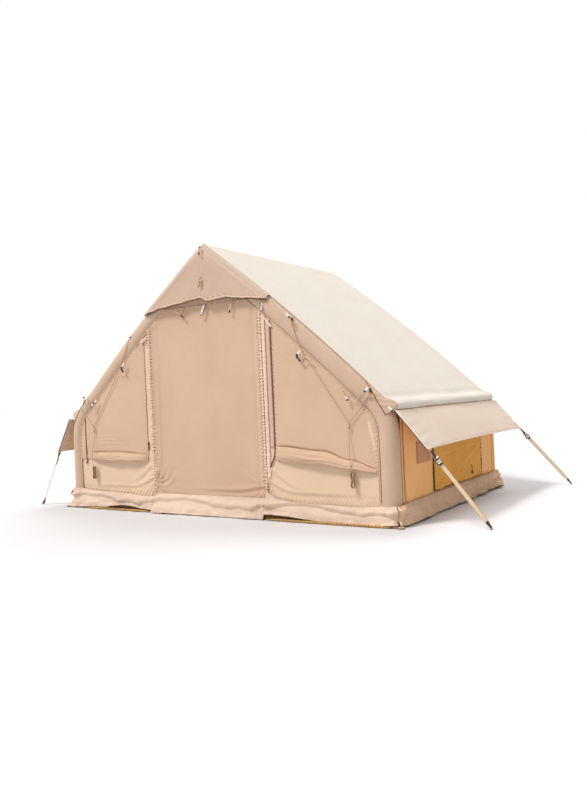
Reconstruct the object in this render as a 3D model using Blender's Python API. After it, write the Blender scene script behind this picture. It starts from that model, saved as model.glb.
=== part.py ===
"""An inflatable cabin tent: an air frame of two arches and three cross beams, dressed in cloth.

Metres, +Z up. The origin is on the ground under the middle of the tent, and the door faces -Y.
"""

import math

import bmesh
import bpy
from mathutils import Matrix, Vector

# Overall size: the outside of the side walls, the arches' fronts, the ridge and the eave seam
HALF_WIDTH = 1.550
HALF_LENGTH = 1.030
RIDGE_HEIGHT = 2.065
EAVE_HEIGHT = 0.755
RAFTER_CROWN = 0.034

# Cloth and gaps
CLOTH = 0.004
CLEAR = 0.0004
OVERRUN = 0.020

# Air frame
BEAM_RADIUS = 0.075
SLEEVE_WALL = 0.003
BLADDER_SLACK = 0.005
CROSS_RADIUS = 0.050
CROSS_DOME = 0.012
CROSS_SEAT = 0.0007
EAVE_BEND = 0.130
APEX_BEND = 0.120
BEAM_SIDES = 12
HALF_FACET = math.pi / BEAM_SIDES
BLADDER_SIDES = 8
BEND_STEPS = 4
RAFTER_STEPS = 4
DOME_SHARES = ((1.0, 0.0), (0.94, 0.5), (0.72, 1.0))

# Groundsheet: a shallow tub with an eyelet tab at each corner
FLOOR = 0.006
TUB_HEIGHT = 0.060
FLOOR_MARGIN = 0.004
TAB_REACH = 0.040
TAB_HALF = 0.019
EYELET_RADIUS = 0.008
CORNER_STEPS = 4
EYELET_SIDES = 16

# Front wall: its plane lies a little behind the front of the arch
WALL_SETBACK = 0.015
DOOR_LEFT = -0.562
DOOR_RIGHT = 0.505
GABLE_DEPTH = 0.465
DOOR_TOP = RIDGE_HEIGHT - GABLE_DEPTH
DOOR_FOOT = 0.100
ZIP_GAP = 0.003
GABLE_GAP = 0.004
WINDOW_POST = {"left": 0.070, "right": 0.105}
COVER_MARGIN = 0.008
HOLE_FOOT = 0.515
HOLE_LAP = 0.035
SCREEN_LAP = 0.015
SCREEN = 0.0025
ROLL_CENTRE = {"left": 0.475, "right": 0.460}
ROLL_TILT = {"left": 0.006, "right": 0.070}
ROLL_HALF = 0.050
ROLL_DEPTH = 0.034
ROLL_END_SHARE = 0.35
ROLL_SHARES = (-1.25, -0.9, -0.55, -0.1, 0.35, 0.75, 1.15)
COVER_CROWN = 0.008
UPPER_ROW_SHARES = (0.35, 0.7, 1.0)
WALL_STEPS = 12

# Hood over the gable
HOOD_HALF = 0.590
HOOD_SEAM = 0.0012
HOOD_PROUD = 0.012
HOOD_FLARE = 0.018
HOOD_END_DROP = 0.0233
HOOD_OVER_DOOR = 0.046
HOOD_HEM_STEP = 0.003
HOOD_RUFFLE = 0.005
HOOD_RUFFLES = 3.5
HOOD_COLUMNS = 18
HOOD_DROP_SHARES = (0.35, 0.7, 1.0)

# Roof: it laps a facet of each arch and rolls down to the eave seam
ROOF_SPAN_SHARES = (-1.0, -0.6, 0.0, 0.6, 1.0)
ROOF_SAG = 0.010
ROLL_START_SHARE = 0.060
EAVE_ROLL_PROUD = 0.020
EAVE_ROLL_RISE = 0.066
EAVE_TUCK = 0.002
EAVE_SEAM_GAP = 0.006
EAVE_ROLL_STEPS = 4
RIDGE_SEAM = 0.0006

# Side walls, their window flaps and screens
SIDE_TOP_LAP = 0.003
FLAP_FRONT = -0.430
FLAP_REAR = 0.585
FLAP_TOP = 0.565
FLAP_FOOT = 0.160
EDGE_STEPS = 4

# Skirts
SKIRT_TOP = 0.148
SKIRT_KNEE = 0.072
SKIRT_HEM = 0.006
SKIRT_KNEE_OUT = 0.004
SKIRT_HEM_OUT = 0.018
SKIRT_LIFT = 0.026
SKIRT_FOLD = 0.006
SKIRT_WAVE = 0.520
SKIRT_RIPPLE = 0.190
SKIRT_STEP = 0.110
SKIRT_SHARES = ((0.0, 0.0), (0.45, 0.15), (1.0, 0.45), (1.5, 0.8), (2.0, 1.0))
DOOR_SKIRT_OUT = 0.022
DOOR_SKIRT_CORNER = 0.026

# Awnings and their webbing guys
AWNING_LENGTH = 0.325
AWNING_HALF = 1.020
AWNING_SLOPE = {"right": math.radians(49.7), "left": math.radians(60)}
PEG_OUT = {"right": 0.550, "left": 0.400}
PEG_PAST = {"right": {"front": -0.140, "rear": 0.280}, "left": {"front": 0.0, "rear": 0.280}}
PEG_RADIUS = 0.006
PEG_LIFT = 0.0006
STRAP_WIDTH = 0.028
STRAP = 0.0026
STRAP_INSET = 0.016
KNUCKLE_RADIUS = 0.004
SLIDER_WIDTH = 0.042
SLIDER_LENGTH = 0.034
SLIDER_DEPTH = 0.011
SLIDER_FROM_HEM = 0.095
SLIDER_BEVEL = 0.002
SLIDER_SLACK = 0.0008
BEVEL_STEPS = 2

# Zip sliders, with the outline of one seen from the side as shares of its depth and length
ZIP_WIDTH = 0.011
ZIP_LENGTH = 0.022
ZIP_DEPTH = 0.008
ZIP_PULL_LENGTH = 0.042
ZIP_DOOR_HEIGHT = 0.215
ZIP_WINDOW_HEIGHT = 0.545
ZIP_WINDOW_OFF = 0.007
ZIP_BODY_SHARES = ((0.0, 0.5), (0.6, 0.5), (1.0, 0.2), (1.0, -0.3), (0.7, -0.5))
ZIP_PULL_SHARES = (0.7, 0.4)

# Inflation valve on the rear arch's right leg
VALVE_HEIGHT = 0.450
VALVE_BARREL = 0.0245
VALVE_FLANGE = 0.031
VALVE_FLANGE_DEPTH = 0.006
VALVE_STANDOFF = 0.0035
CAP_RADIUS = 0.026
CAP_DEPTH = 0.010
CAP_BEVEL = 0.0025
CAP_HINGE_RADIUS = 0.003
CAP_HINGE_HALF = 0.008
CAP_NECK_SHARES = (0.8, 1.0, 3.0)
VALVE_SIDES = 24

# Stowed guy lines on the front: routes as (x, depth in front of the front wall, z)
CORD = 0.004
CORD_ROUTES = {
    "right": (
        (0.803, 0.0140, 1.374), (0.812, 0.0190, 1.344), (0.834, 0.0200, 1.280), (0.861, 0.0190, 1.210),
        (0.892, 0.0175, 1.150), (0.942, 0.0165, 1.083), (1.000, 0.0165, 0.998), (1.062, 0.0170, 0.905),
        (1.124, 0.0180, 0.815), (1.180, 0.0200, 0.732), (1.213, 0.0230, 0.682), (1.220, 0.0250, 0.640),
        (1.216, 0.0280, 0.594), (1.220, 0.0350, 0.540), (1.224, 0.0440, 0.492), (1.226, 0.0460, 0.440),
        (1.228, 0.0400, 0.398),
    ),
    "left": (
        (-0.786, 0.0140, 1.388), (-0.796, 0.0190, 1.360), (-0.818, 0.0200, 1.306), (-0.852, 0.0190, 1.238),
        (-0.898, 0.0180, 1.168), (-0.953, 0.0170, 1.088), (-1.016, 0.0165, 0.995), (-1.080, 0.0170, 0.905),
        (-1.142, 0.0180, 0.815), (-1.188, 0.0200, 0.742), (-1.214, 0.0230, 0.696), (-1.222, 0.0250, 0.640),
        (-1.222, 0.0280, 0.594), (-1.226, 0.0360, 0.540), (-1.232, 0.0440, 0.492), (-1.236, 0.0450, 0.440),
        (-1.242, 0.0400, 0.398),
    ),
}
LEG_ROUTES = {
    "right": (
        (1.372, 0.0145, 0.857), (1.352, 0.0200, 0.832), (1.315, 0.0195, 0.788), (1.274, 0.0210, 0.738),
        (1.240, 0.0240, 0.702), (1.2270, 0.0248, 0.682), (1.2242, 0.0252, 0.655),
    ),
    "left": (
        (-1.376, 0.0145, 0.866), (-1.376, 0.0200, 0.844), (-1.356, 0.0205, 0.812), (-1.312, 0.0215, 0.772),
        (-1.262, 0.0245, 0.724), (-1.2325, 0.0250, 0.694), (-1.2260, 0.0254, 0.655),
    ),
}
ANCHOR_SHARES = {"right": {"upper": 0.495, "hook": 0.110}, "left": {"upper": 0.505, "hook": 0.116}}
ANCHOR_ANGLE = math.radians(45)
ANCHOR_WIDTH = 0.014
ANCHOR_HEIGHT = 0.030
ANCHOR_DEPTH = 0.009
ANCHOR_BEVEL = 0.002
CORD_STEPS = 60
LEG_STEPS = 12
HANK_LOOPS = 5
HANK_POINTS = 24
HANK_TOP = 0.354
HANK_CENTRE = {"right": 1.230, "left": -1.245}
HANK_FRONT = 0.036
HANK_STUB = 0.012
HANK_TURN_SHARE = 1 / 12
STRAIGHT = 0.007
HANK_HEIGHT = 0.104
HANK_WIDTH = 0.034
HANK_WAIST = 0.014
HANK_PITCH = 0.0048
HANK_SQUARE_SHARE = 0.6

# Derived places
ARCH_INSET = CLOTH + CLEAR + BEAM_RADIUS
ARCH_Y = HALF_LENGTH - BEAM_RADIUS
WALL_Y = HALF_LENGTH - WALL_SETBACK
SEAM_DEPTH = BEAM_RADIUS - WALL_SETBACK - CLOTH
SEAM_ANGLE = 4 * HALF_FACET
SEAM_FLAT = BEAM_RADIUS * math.cos(HALF_FACET) + CLEAR
SEAM_OFFSET = (SEAM_FLAT - SEAM_DEPTH * math.sin(SEAM_ANGLE)) / math.cos(SEAM_ANGLE)
LEG_X = HALF_WIDTH - ARCH_INSET
FLOOR_TOP = FLOOR + CLEAR
TUB_IN_X = HALF_WIDTH + CLEAR
TUB_IN_Y = HALF_LENGTH + CLEAR
TUB_OUT_X = TUB_IN_X + CLOTH
TUB_OUT_Y = TUB_IN_Y + CLOTH
ROOF_RISE = RIDGE_HEIGHT - EAVE_HEIGHT
ROOF_CHORD = math.hypot(HALF_WIDTH, ROOF_RISE)
CHORD_OUT = Vector((ROOF_RISE / ROOF_CHORD, HALF_WIDTH / ROOF_CHORD))
HINGE_X = HALF_WIDTH + CLEAR + CLOTH / 2
SIGN = {"right": 1, "left": -1, "front": -1, "rear": 1}
SIDES = ("left", "right")
ENDS = ("front", "rear")
HALVINGS = 40
SMOOTH = math.radians(42)


def material(name, colour, roughness, metallic=0.0):
    made = bpy.data.materials.new(name)
    made.use_nodes = True
    shader = made.node_tree.nodes["Principled BSDF"]
    shader.inputs["Base Color"].default_value = (*colour, 1.0)
    shader.inputs["Roughness"].default_value = roughness
    shader.inputs["Metallic"].default_value = metallic
    return made


# Objects and their parents

def add_object(name, mesh, finish, location=(0, 0, 0), smooth=True):
    """Links a mesh, given in world places, as an object with its origin at a location."""
    mesh.transform(Matrix.Translation(-Vector(location)))
    if smooth:
        mesh.shade_smooth()
        mesh.set_sharp_from_angle(angle=SMOOTH)
    made = bpy.data.objects.new(name, mesh)
    made.location = location
    mesh.materials.append(finish)
    bpy.context.scene.collection.objects.link(made)
    return made


def pivot(name, location):
    """An empty on a joint's axis, which carries the pieces that move together."""
    made = bpy.data.objects.new(name, None)
    made.location = location
    bpy.context.scene.collection.objects.link(made)
    return made


def carry(parent, *children):
    """Parents objects and keeps them where they are."""
    bpy.context.view_layer.update()
    for child in children:
        child.parent = parent
        child.matrix_parent_inverse = parent.matrix_world.inverted()


def combine(target, other, operation):
    """Joins or cuts with another object, which stays in the file as a hidden guide."""
    other.hide_render = True
    other.display_type = "WIRE"
    step = target.modifiers.new(other.name, "BOOLEAN")
    step.operation = operation
    step.solver = "EXACT"
    step.object = other


def round_edges(target, width):
    edge = target.modifiers.new("rounded edges", "BEVEL")
    edge.width = width
    edge.segments = BEVEL_STEPS


# Mesh helpers: each returns one closed body in world places

def mesh_from(name, points, faces):
    """A mesh from points and faces, with its faces turned to point out of the body."""
    shape = bmesh.new()
    corners = [shape.verts.new(point) for point in points]
    for face in faces:
        shape.faces.new([corners[index] for index in face])
    bmesh.ops.recalc_face_normals(shape, faces=shape.faces)
    made = bpy.data.meshes.new(name)
    shape.to_mesh(made)
    shape.free()
    return made


def sheet(name, outer, inner):
    """A closed sheet between two grids of points with rows of equal length."""
    rows, columns = len(outer), len(outer[0])
    points = [point for grid in (outer, inner) for row in grid for point in row]

    def at(place, layer):
        return (layer * rows + place[0]) * columns + place[1]

    faces = []
    for row in range(rows - 1):
        for column in range(columns - 1):
            ring = [(row, column), (row, column + 1), (row + 1, column + 1), (row + 1, column)]
            faces += [[at(place, layer) for place in ring] for layer in (0, 1)]
    edge = [(0, column) for column in range(columns)] + [(row, columns - 1) for row in range(1, rows)]
    edge += [(rows - 1, column) for column in reversed(range(columns - 1))]
    edge += [(row, 0) for row in reversed(range(1, rows - 1))]
    for place, following in zip(edge, edge[1:] + edge[:1]):
        faces.append([at(place, 0), at(following, 0), at(following, 1), at(place, 1)])
    return mesh_from(name, points, faces)


def prism(name, outline, shift):
    """A flat outline of points, carried along a shift."""
    count = len(outline)
    points = outline + [point + shift for point in outline]
    faces = [list(range(count)), list(range(count, 2 * count))]
    faces += [[i, (i + 1) % count, count + (i + 1) % count, count + i] for i in range(count)]
    return mesh_from(name, points, faces)


def framed_prism(name, outline, hole, shift):
    """A flat outline with a hole of as many points, carried along a shift."""
    count = len(outline)
    points = outline + hole
    points = points + [point + shift for point in points]
    faces = []
    for i in range(count):
        j = (i + 1) % count
        for a, b in ((0, count), (2 * count, 3 * count), (0, 2 * count), (count, 3 * count)):
            faces.append([a + i, a + j, b + j, b + i])
    return mesh_from(name, points, faces)


def turned(name, profile, sides, centre, axis):
    """A turned body from a profile of (radius, height along the axis), closed at both ends."""
    toward = Vector(axis)
    across = toward.orthogonal().normalized()
    points, faces = [], []
    for radius, height in profile:
        for side in range(sides):
            angle = math.tau * side / sides
            spoke = across * math.cos(angle) + toward.cross(across) * math.sin(angle)
            points.append(Vector(centre) + toward * height + spoke * radius)
    for ring in range(len(profile) - 1):
        low, high = ring * sides, (ring + 1) * sides
        for side in range(sides):
            following = (side + 1) % sides
            faces.append([low + side, low + following, high + following, high + side])
    faces.append(list(range(sides)))
    faces.append([(len(profile) - 1) * sides + side for side in range(sides)])
    return mesh_from(name, points, faces)


def box(name, centre, size, axes=((1, 0, 0), (0, 1, 0), (0, 0, 1))):
    """A box about a centre, with its sizes along three axes."""
    corners = []
    for c in ((-1, -1, -1), (1, -1, -1), (1, 1, -1), (-1, 1, -1)):
        for top in (c[2], -c[2]):
            corners.append(sum((Vector(axis) * length * way / 2 for axis, length, way
                                in zip(axes, size, (c[0], c[1], top))), Vector(centre)))
    faces = [[0, 2, 4, 6], [1, 3, 5, 7]] + [[i, i + 1, (i + 3) % 8, (i + 2) % 8] for i in (0, 2, 4, 6)]
    return mesh_from(name, corners, faces)


# The house-shaped line that the arches, the roof and the walls follow, as (x, z)

def roof_point(share, inset=0.0):
    """The right slope at a share of the way from eave to ridge, moved in by an inset."""
    along = Vector((-HALF_WIDTH, ROOF_RISE))
    place = Vector((HALF_WIDTH, EAVE_HEIGHT)) + along * share
    place += CHORD_OUT * RAFTER_CROWN * 4 * share * (1 - share)
    slope = along + CHORD_OUT * RAFTER_CROWN * 4 * (1 - 2 * share)
    return place - Vector((slope.y, -slope.x)).normalized() * inset


def share_at_x(x, inset):
    """The share at which the inset slope crosses x."""
    low, high = -0.2, 1.2
    for _ in range(HALVINGS):
        middle = (low + high) / 2
        if roof_point(middle, inset).x > x:
            low = middle
        else:
            high = middle
    return low


def bend(start, corner, end, steps):
    """Points of a smooth bend from start to end, drawn towards a corner."""
    shares = [step / steps for step in range(steps + 1)]
    return [start * (1 - t) ** 2 + corner * 2 * t * (1 - t) + end * t**2 for t in shares]


def rafter_shares():
    """The shares along the slope at which the arch's rafter has its rings, from the eave up."""
    low = share_at_x(LEG_X, ARCH_INSET) + EAVE_BEND / ROOF_CHORD
    high = share_at_x(0.0, ARCH_INSET) - APEX_BEND / ROOF_CHORD
    return [low + (high - low) * step / RAFTER_STEPS for step in range(RAFTER_STEPS + 1)]


def arch_line():
    """The arch's centreline and its outward directions, from the right foot to the left."""
    corner = roof_point(share_at_x(LEG_X, ARCH_INSET), ARCH_INSET)
    rafter = [roof_point(share, ARCH_INSET) for share in rafter_shares()]
    half = [Vector((LEG_X, FLOOR_TOP))]
    half += bend(corner - Vector((0, EAVE_BEND)), corner, rafter[0], BEND_STEPS)
    half += rafter[1:-1]
    start = rafter[-1]
    peak = roof_point(share_at_x(0.0, ARCH_INSET), ARCH_INSET)
    apex = bend(start, peak, Vector((-start.x, start.y)), BEND_STEPS)
    half += apex[: BEND_STEPS // 2 + 1]
    points = half + [Vector((-p.x, p.y)) for p in reversed(half[:-1])]
    outs = []
    for index in range(len(points)):
        along = points[min(index + 1, len(points) - 1)] - points[max(index - 1, 0)]
        outs.append(Vector((along.y, -along.x)).normalized())
    return points, outs


def inner_line(offset):
    """The line inside the arch at an offset from its centreline, from right foot to left."""
    return [point - out * offset for point, out in zip(*arch_line())]


def mirrored(line, side):
    """A line of the right half as it is, or reflected to the left."""
    return [Vector((SIGN[side] * point.x, point.y)) for point in line]


def lengths_along(line):
    """The distance along a line to each of its points."""
    lengths = [0.0]
    for a, b in zip(line, line[1:]):
        lengths.append(lengths[-1] + (b - a).length)
    return lengths


def mark(line, test):
    """How far along a line a test first holds."""
    lengths = lengths_along(line)
    index = next(i for i, point in enumerate(line) if test(point))
    if index == 0:
        return 0.0
    low, high = 0.0, 1.0
    for _ in range(HALVINGS):
        middle = (low + high) / 2
        if test(line[index - 1].lerp(line[index], middle)):
            high = middle
        else:
            low = middle
    return lengths[index - 1] + (lengths[index] - lengths[index - 1]) * high


def point_at(line, distance):
    """The point at a distance along a line."""
    lengths = lengths_along(line)
    index = max(i for i in range(len(line) - 1) if lengths[i] <= distance)
    share = (distance - lengths[index]) / (lengths[index + 1] - lengths[index])
    return line[index].lerp(line[index + 1], share)


def part_of(line, starts, ends, steps):
    """Evenly spaced points of a line, from where one test first holds to where another does."""
    first, last = mark(line, starts), mark(line, ends)
    return [point_at(line, first + (last - first) * step / steps) for step in range(steps + 1)]


def upright(line, y):
    """Points of (x, z) set up in the plane at y."""
    return [Vector((point.x, y, point.y)) for point in line]


# Air frame

def arch_tube(name, y, radii, sides):
    """A tube along the arch: two radii make a sleeve open at its feet, one a closed bladder."""
    centres, outs = arch_line()
    points, faces = [], []
    for radius in radii:
        for centre, out in zip(centres, outs):
            for side in range(sides):
                angle = math.tau * (side + 0.5) / sides
                place = centre + out * radius * math.cos(angle)
                points.append(Vector((place.x, y + radius * math.sin(angle), place.y)))
    layer = len(centres) * sides
    last = layer - sides
    for side in range(sides):
        following = (side + 1) % sides
        for base in range(len(radii)):
            for ring in range(base * layer, base * layer + last, sides):
                faces.append([ring + side, ring + following, ring + sides + following, ring + sides + side])
        if len(radii) == 2:
            for ring in (0, last):
                faces.append([ring + side, ring + following, layer + ring + following, layer + ring + side])
    if len(radii) == 1:
        faces += [list(range(sides)), list(range(last, layer))]
    return mesh_from(name, points, faces)


def cross_beam(name, x, inset_x, finish):
    """A straight beam between the arches, tight under the roof, with slightly domed ends."""
    inset = CLOTH + CROSS_SEAT + CROSS_RADIUS
    z = roof_point(share_at_x(inset_x, inset), inset).y
    reach = ARCH_Y - BEAM_RADIUS - CLEAR
    ends = [(CROSS_RADIUS * radius, reach - CROSS_DOME * (1 - height)) for radius, height in DOME_SHARES]
    profile = [(radius, -height) for radius, height in reversed(ends)] + ends
    add_object(name, turned(name, profile, BEAM_SIDES, (x, 0, z), (0, 1, 0)), finish, (x, 0, z))


def build_air_frame(cloth, film):
    for end in ENDS:
        y = SIGN[end] * ARCH_Y
        inner = BEAM_RADIUS - SLEEVE_WALL
        name = f"{end}_arch_sleeve"
        sleeve = add_object(name, arch_tube(name, y, (BEAM_RADIUS, inner), BEAM_SIDES), cloth, (0, y, 0))
        name = f"{end}_arch_bladder"
        add_object(name, arch_tube(name, y, (inner - BLADDER_SLACK,), BLADDER_SIDES), film, (0, y, 0))
        if end == "rear":
            start = (LEG_X, HALF_LENGTH - OVERRUN, VALVE_HEIGHT)
            profile = ((VALVE_BARREL + CLEAR, 0), (VALVE_BARREL + CLEAR, 2 * OVERRUN))
            hole = turned("valve_hole", profile, VALVE_SIDES, start, (0, 1, 0))
            combine(sleeve, add_object("valve_hole", hole, film), "DIFFERENCE")
    eave_x = HALF_WIDTH - CLOTH - CLEAR - CROSS_RADIUS * math.cos(HALF_FACET)
    cross_beam("ridge_beam", 0.0, 0.0, cloth)
    for side in SIDES:
        cross_beam(f"eave_beam_{side}", SIGN[side] * eave_x, eave_x, cloth)


def build_valve(plastic):
    """A barrel in the sleeve's hole, a flange outside it, and a cap hinged above."""
    bladder_y = ARCH_Y + BEAM_RADIUS - SLEEVE_WALL - BLADDER_SLACK
    flange_y = HALF_LENGTH + VALVE_STANDOFF
    face_y = flange_y + VALVE_FLANGE_DEPTH
    centre = (LEG_X, 0, VALVE_HEIGHT)
    profile = ((VALVE_BARREL, bladder_y + CLEAR), (VALVE_BARREL, flange_y), (VALVE_FLANGE, flange_y),
               (VALVE_FLANGE, face_y))
    add_object("inflation_valve", turned("inflation_valve", profile, VALVE_SIDES, centre, (0, 1, 0)), plastic)
    hinge_z = VALVE_HEIGHT + CAP_RADIUS + CAP_HINGE_RADIUS
    hinge_y = face_y + CLEAR + CAP_HINGE_RADIUS
    low, high = face_y + CLEAR, face_y + CLEAR + CAP_DEPTH
    profile = ((CAP_RADIUS, low), (CAP_RADIUS, high - CAP_BEVEL), (CAP_RADIUS - CAP_BEVEL, high))
    cap = add_object("valve_cap", turned("valve_cap", profile, VALVE_SIDES, centre, (0, 1, 0)), plastic,
                     (LEG_X, hinge_y, hinge_z))
    start = (LEG_X - CAP_HINGE_HALF, hinge_y, hinge_z)
    profile = ((CAP_HINGE_RADIUS, 0), (CAP_HINGE_RADIUS, 2 * CAP_HINGE_HALF))
    knuckle = turned("cap_knuckle", profile, EYELET_SIDES, start, (1, 0, 0))
    neck_full = (2 * CAP_HINGE_HALF, CAP_HINGE_RADIUS, CAP_HINGE_RADIUS)
    neck_size = [full * share for full, share in zip(neck_full, CAP_NECK_SHARES)]
    combine(cap, add_object("cap_knuckle", knuckle, plastic), "UNION")
    neck = box("cap_neck", (LEG_X, hinge_y, hinge_z - CAP_HINGE_RADIUS), neck_size)
    combine(cap, add_object("cap_neck", neck, plastic), "UNION")


# Groundsheet

def ring_corner(half_x, half_y, sign_x, sign_y, angle):
    """A point of the tent's rounded foot line: at angle 0 it faces along Y, at 90 degrees along X."""
    x = LEG_X + (half_x - LEG_X) * math.sin(angle)
    y = ARCH_Y + (half_y - ARCH_Y) * math.cos(angle)
    return Vector((sign_x * x, sign_y * y, 0))


def foot_outline(half_x, half_y, with_tabs):
    """The tent's foot line, counted round, with a rounded eyelet tab at each corner if wanted."""
    outline = []
    for sign_x, sign_y in ((1, -1), (1, 1), (-1, 1), (-1, -1)):
        shares = [step / CORNER_STEPS for step in range(CORNER_STEPS + 1)]
        half_turn = math.asin(TAB_HALF / (half_x - LEG_X)) if with_tabs else 0.0
        low, high = math.pi / 4 - half_turn, math.pi / 4 + half_turn
        angles = [low * share for share in shares]
        corner = [ring_corner(half_x, half_y, sign_x, sign_y, angle) for angle in angles]
        if with_tabs:
            centre = tab_centre(sign_x, sign_y)
            toward = Vector((sign_x, sign_y, 0)).normalized()
            across = Vector((sign_x, -sign_y, 0)).normalized()
            for share in shares:
                turn = math.pi * share
                corner.append(centre + (toward * math.sin(turn) - across * math.cos(turn)) * TAB_HALF)
        rest = [ring_corner(half_x, half_y, sign_x, sign_y, high + (math.pi / 2 - high) * s) for s in shares]
        corner += rest if with_tabs else rest[1:]
        outline += corner if sign_x != sign_y else corner[::-1]
    return outline


def tab_centre(sign_x, sign_y):
    """The middle of a corner tab's round end, where its eyelet is."""
    corner = ring_corner(TUB_OUT_X + FLOOR_MARGIN, TUB_OUT_Y + FLOOR_MARGIN, sign_x, sign_y, math.pi / 4)
    return corner + Vector((sign_x, sign_y, 0)).normalized() * TAB_REACH


def build_groundsheet(tarp):
    """A floor with a low wall all round, and an eyelet in a tab at each corner."""
    outline = foot_outline(TUB_OUT_X + FLOOR_MARGIN, TUB_OUT_Y + FLOOR_MARGIN, True)
    floor = prism("groundsheet", outline, Vector((0, 0, FLOOR)))
    ground = add_object("groundsheet", floor, tarp, smooth=False)
    lift = Vector((0, 0, FLOOR / 2))
    outer = [point + lift for point in foot_outline(TUB_OUT_X, TUB_OUT_Y, False)]
    inner = [point + lift for point in foot_outline(TUB_IN_X, TUB_IN_Y, False)]
    wall = framed_prism("tub_wall", outer, inner, Vector((0, 0, TUB_HEIGHT - FLOOR / 2)))
    combine(ground, add_object("tub_wall", wall, tarp), "UNION")
    for sign_x in (1, -1):
        for sign_y in (1, -1):
            profile = ((EYELET_RADIUS, -OVERRUN), (EYELET_RADIUS, OVERRUN))
            cutter = turned("eyelet", profile, EYELET_SIDES, tab_centre(sign_x, sign_y), (0, 0, 1))
            combine(ground, add_object("eyelet", cutter, tarp), "DIFFERENCE")


# Front, rear and gable walls

def door_side(side):
    return DOOR_LEFT if side == "left" else DOOR_RIGHT


def cover_edge(side):
    """Where a window cover starts, beside the door, as a distance from the middle."""
    return abs(door_side(side)) + WINDOW_POST[side]


def build_front_wall(side, cloth, mesh_cloth):
    """Half of the front wall with its window hole, the cover outside it and the screen inside."""
    edge = abs(door_side(side)) + ZIP_GAP
    window = cover_edge(side) + HOLE_LAP
    seam = inner_line(SEAM_OFFSET)
    outline = part_of(seam, lambda p: True, lambda p: p.x <= edge, WALL_STEPS)
    outline.append(Vector((edge, FLOOR_TOP)))

    def window_outline(lap):
        low, start = HOLE_FOOT + HOLE_LAP - lap, window - HOLE_LAP + lap
        line = inner_line(SEAM_OFFSET + lap)
        points = part_of(line, lambda p: p.y >= low, lambda p: p.x <= start, WALL_STEPS)
        return points + [Vector((start, low))]

    name = f"front_wall_{side}"
    hole = window_outline(HOLE_LAP)
    inward = Vector((0, CLOTH, 0))
    rims = [upright(mirrored(line, side), -WALL_Y) for line in (outline, hole)]
    wall = framed_prism(name, *rims, inward)
    add_object(name, wall, cloth, (0, -WALL_Y, 0), smooth=False)

    name = f"front_window_screen_{side}"
    screen_y = -WALL_Y + CLOTH + CLEAR
    outline = mirrored(window_outline(HOLE_LAP - SCREEN_LAP), side)
    screen = prism(name, upright(outline, screen_y), Vector((0, SCREEN, 0)))
    add_object(name, screen, mesh_cloth, (0, screen_y, 0), smooth=False)
    build_window_cover(side, cloth)


def build_window_cover(side, cloth):
    """A cover zipped over a front window, with slack cloth in a soft roll along its foot."""
    start = cover_edge(side)
    line = inner_line(SEAM_OFFSET + COVER_MARGIN)
    end = line[0].x
    top = part_of(line, lambda p: p.x < end - CLEAR, lambda p: p.x <= start, WALL_STEPS)
    grids = []
    for depth in (CLEAR + CLOTH, CLEAR):
        columns = []
        for point in top:
            share = max((point.x - start) / (end - start), 0.0)
            swell = max(math.sin(math.pi * share), 0.0)
            centre = ROLL_CENTRE[side] - ROLL_TILT[side] * share**1.5
            rows = []
            for roll in ROLL_SHARES:
                bulge = ROLL_DEPTH * math.cos(roll * math.pi / 2) ** 2 if abs(roll) < 1 else 0.0
                bulge *= ROLL_END_SHARE + (1 - ROLL_END_SHARE) * swell**0.5
                rows.append((centre + roll * ROLL_HALF, bulge))
            low = rows[-1][0]
            for upper in UPPER_ROW_SHARES:
                crown = COVER_CROWN * math.sin(math.pi * upper) * swell
                rows.append((low + (point.y - low) * upper, crown))
            columns.append([Vector((SIGN[side] * point.x, -WALL_Y - depth - out, z)) for z, out in rows])
        grids.append(columns)
    name = f"front_window_cover_{side}"
    add_object(name, sheet(name, *grids), cloth, (SIGN[side] * start, -WALL_Y, HOLE_FOOT))


def build_gable(cloth):
    low = DOOR_TOP + GABLE_GAP
    seam = inner_line(SEAM_OFFSET)
    outline = []
    for side in reversed(SIDES):
        edge = abs(door_side(side))
        half = part_of(seam, lambda p: p.y >= low and p.x <= edge, lambda p: p.x <= 0, WALL_STEPS // 2)
        if half[0].y > low + CLEAR:
            half.insert(0, Vector((half[0].x, low)))
        outline += half if side == "right" else mirrored(half[-2::-1], side)
    panel = prism("gable_panel", upright(outline, -WALL_Y), Vector((0, CLOTH, 0)))
    add_object("gable_panel", panel, cloth, (0, -WALL_Y, low), smooth=False)


def build_rear_wall(cloth):
    outline = upright(inner_line(SEAM_OFFSET), WALL_Y)
    wall = prism("rear_wall", outline, Vector((0, -CLOTH, 0)))
    add_object("rear_wall", wall, cloth, (0, WALL_Y, 0), smooth=False)


def hood_hem():
    """The heights of the hood's hem at its ends and at its middle."""
    end = roof_point(share_at_x(HOOD_HALF, 0.0)).y - HOOD_END_DROP
    return end, DOOR_TOP + HOOD_OVER_DOOR


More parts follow.
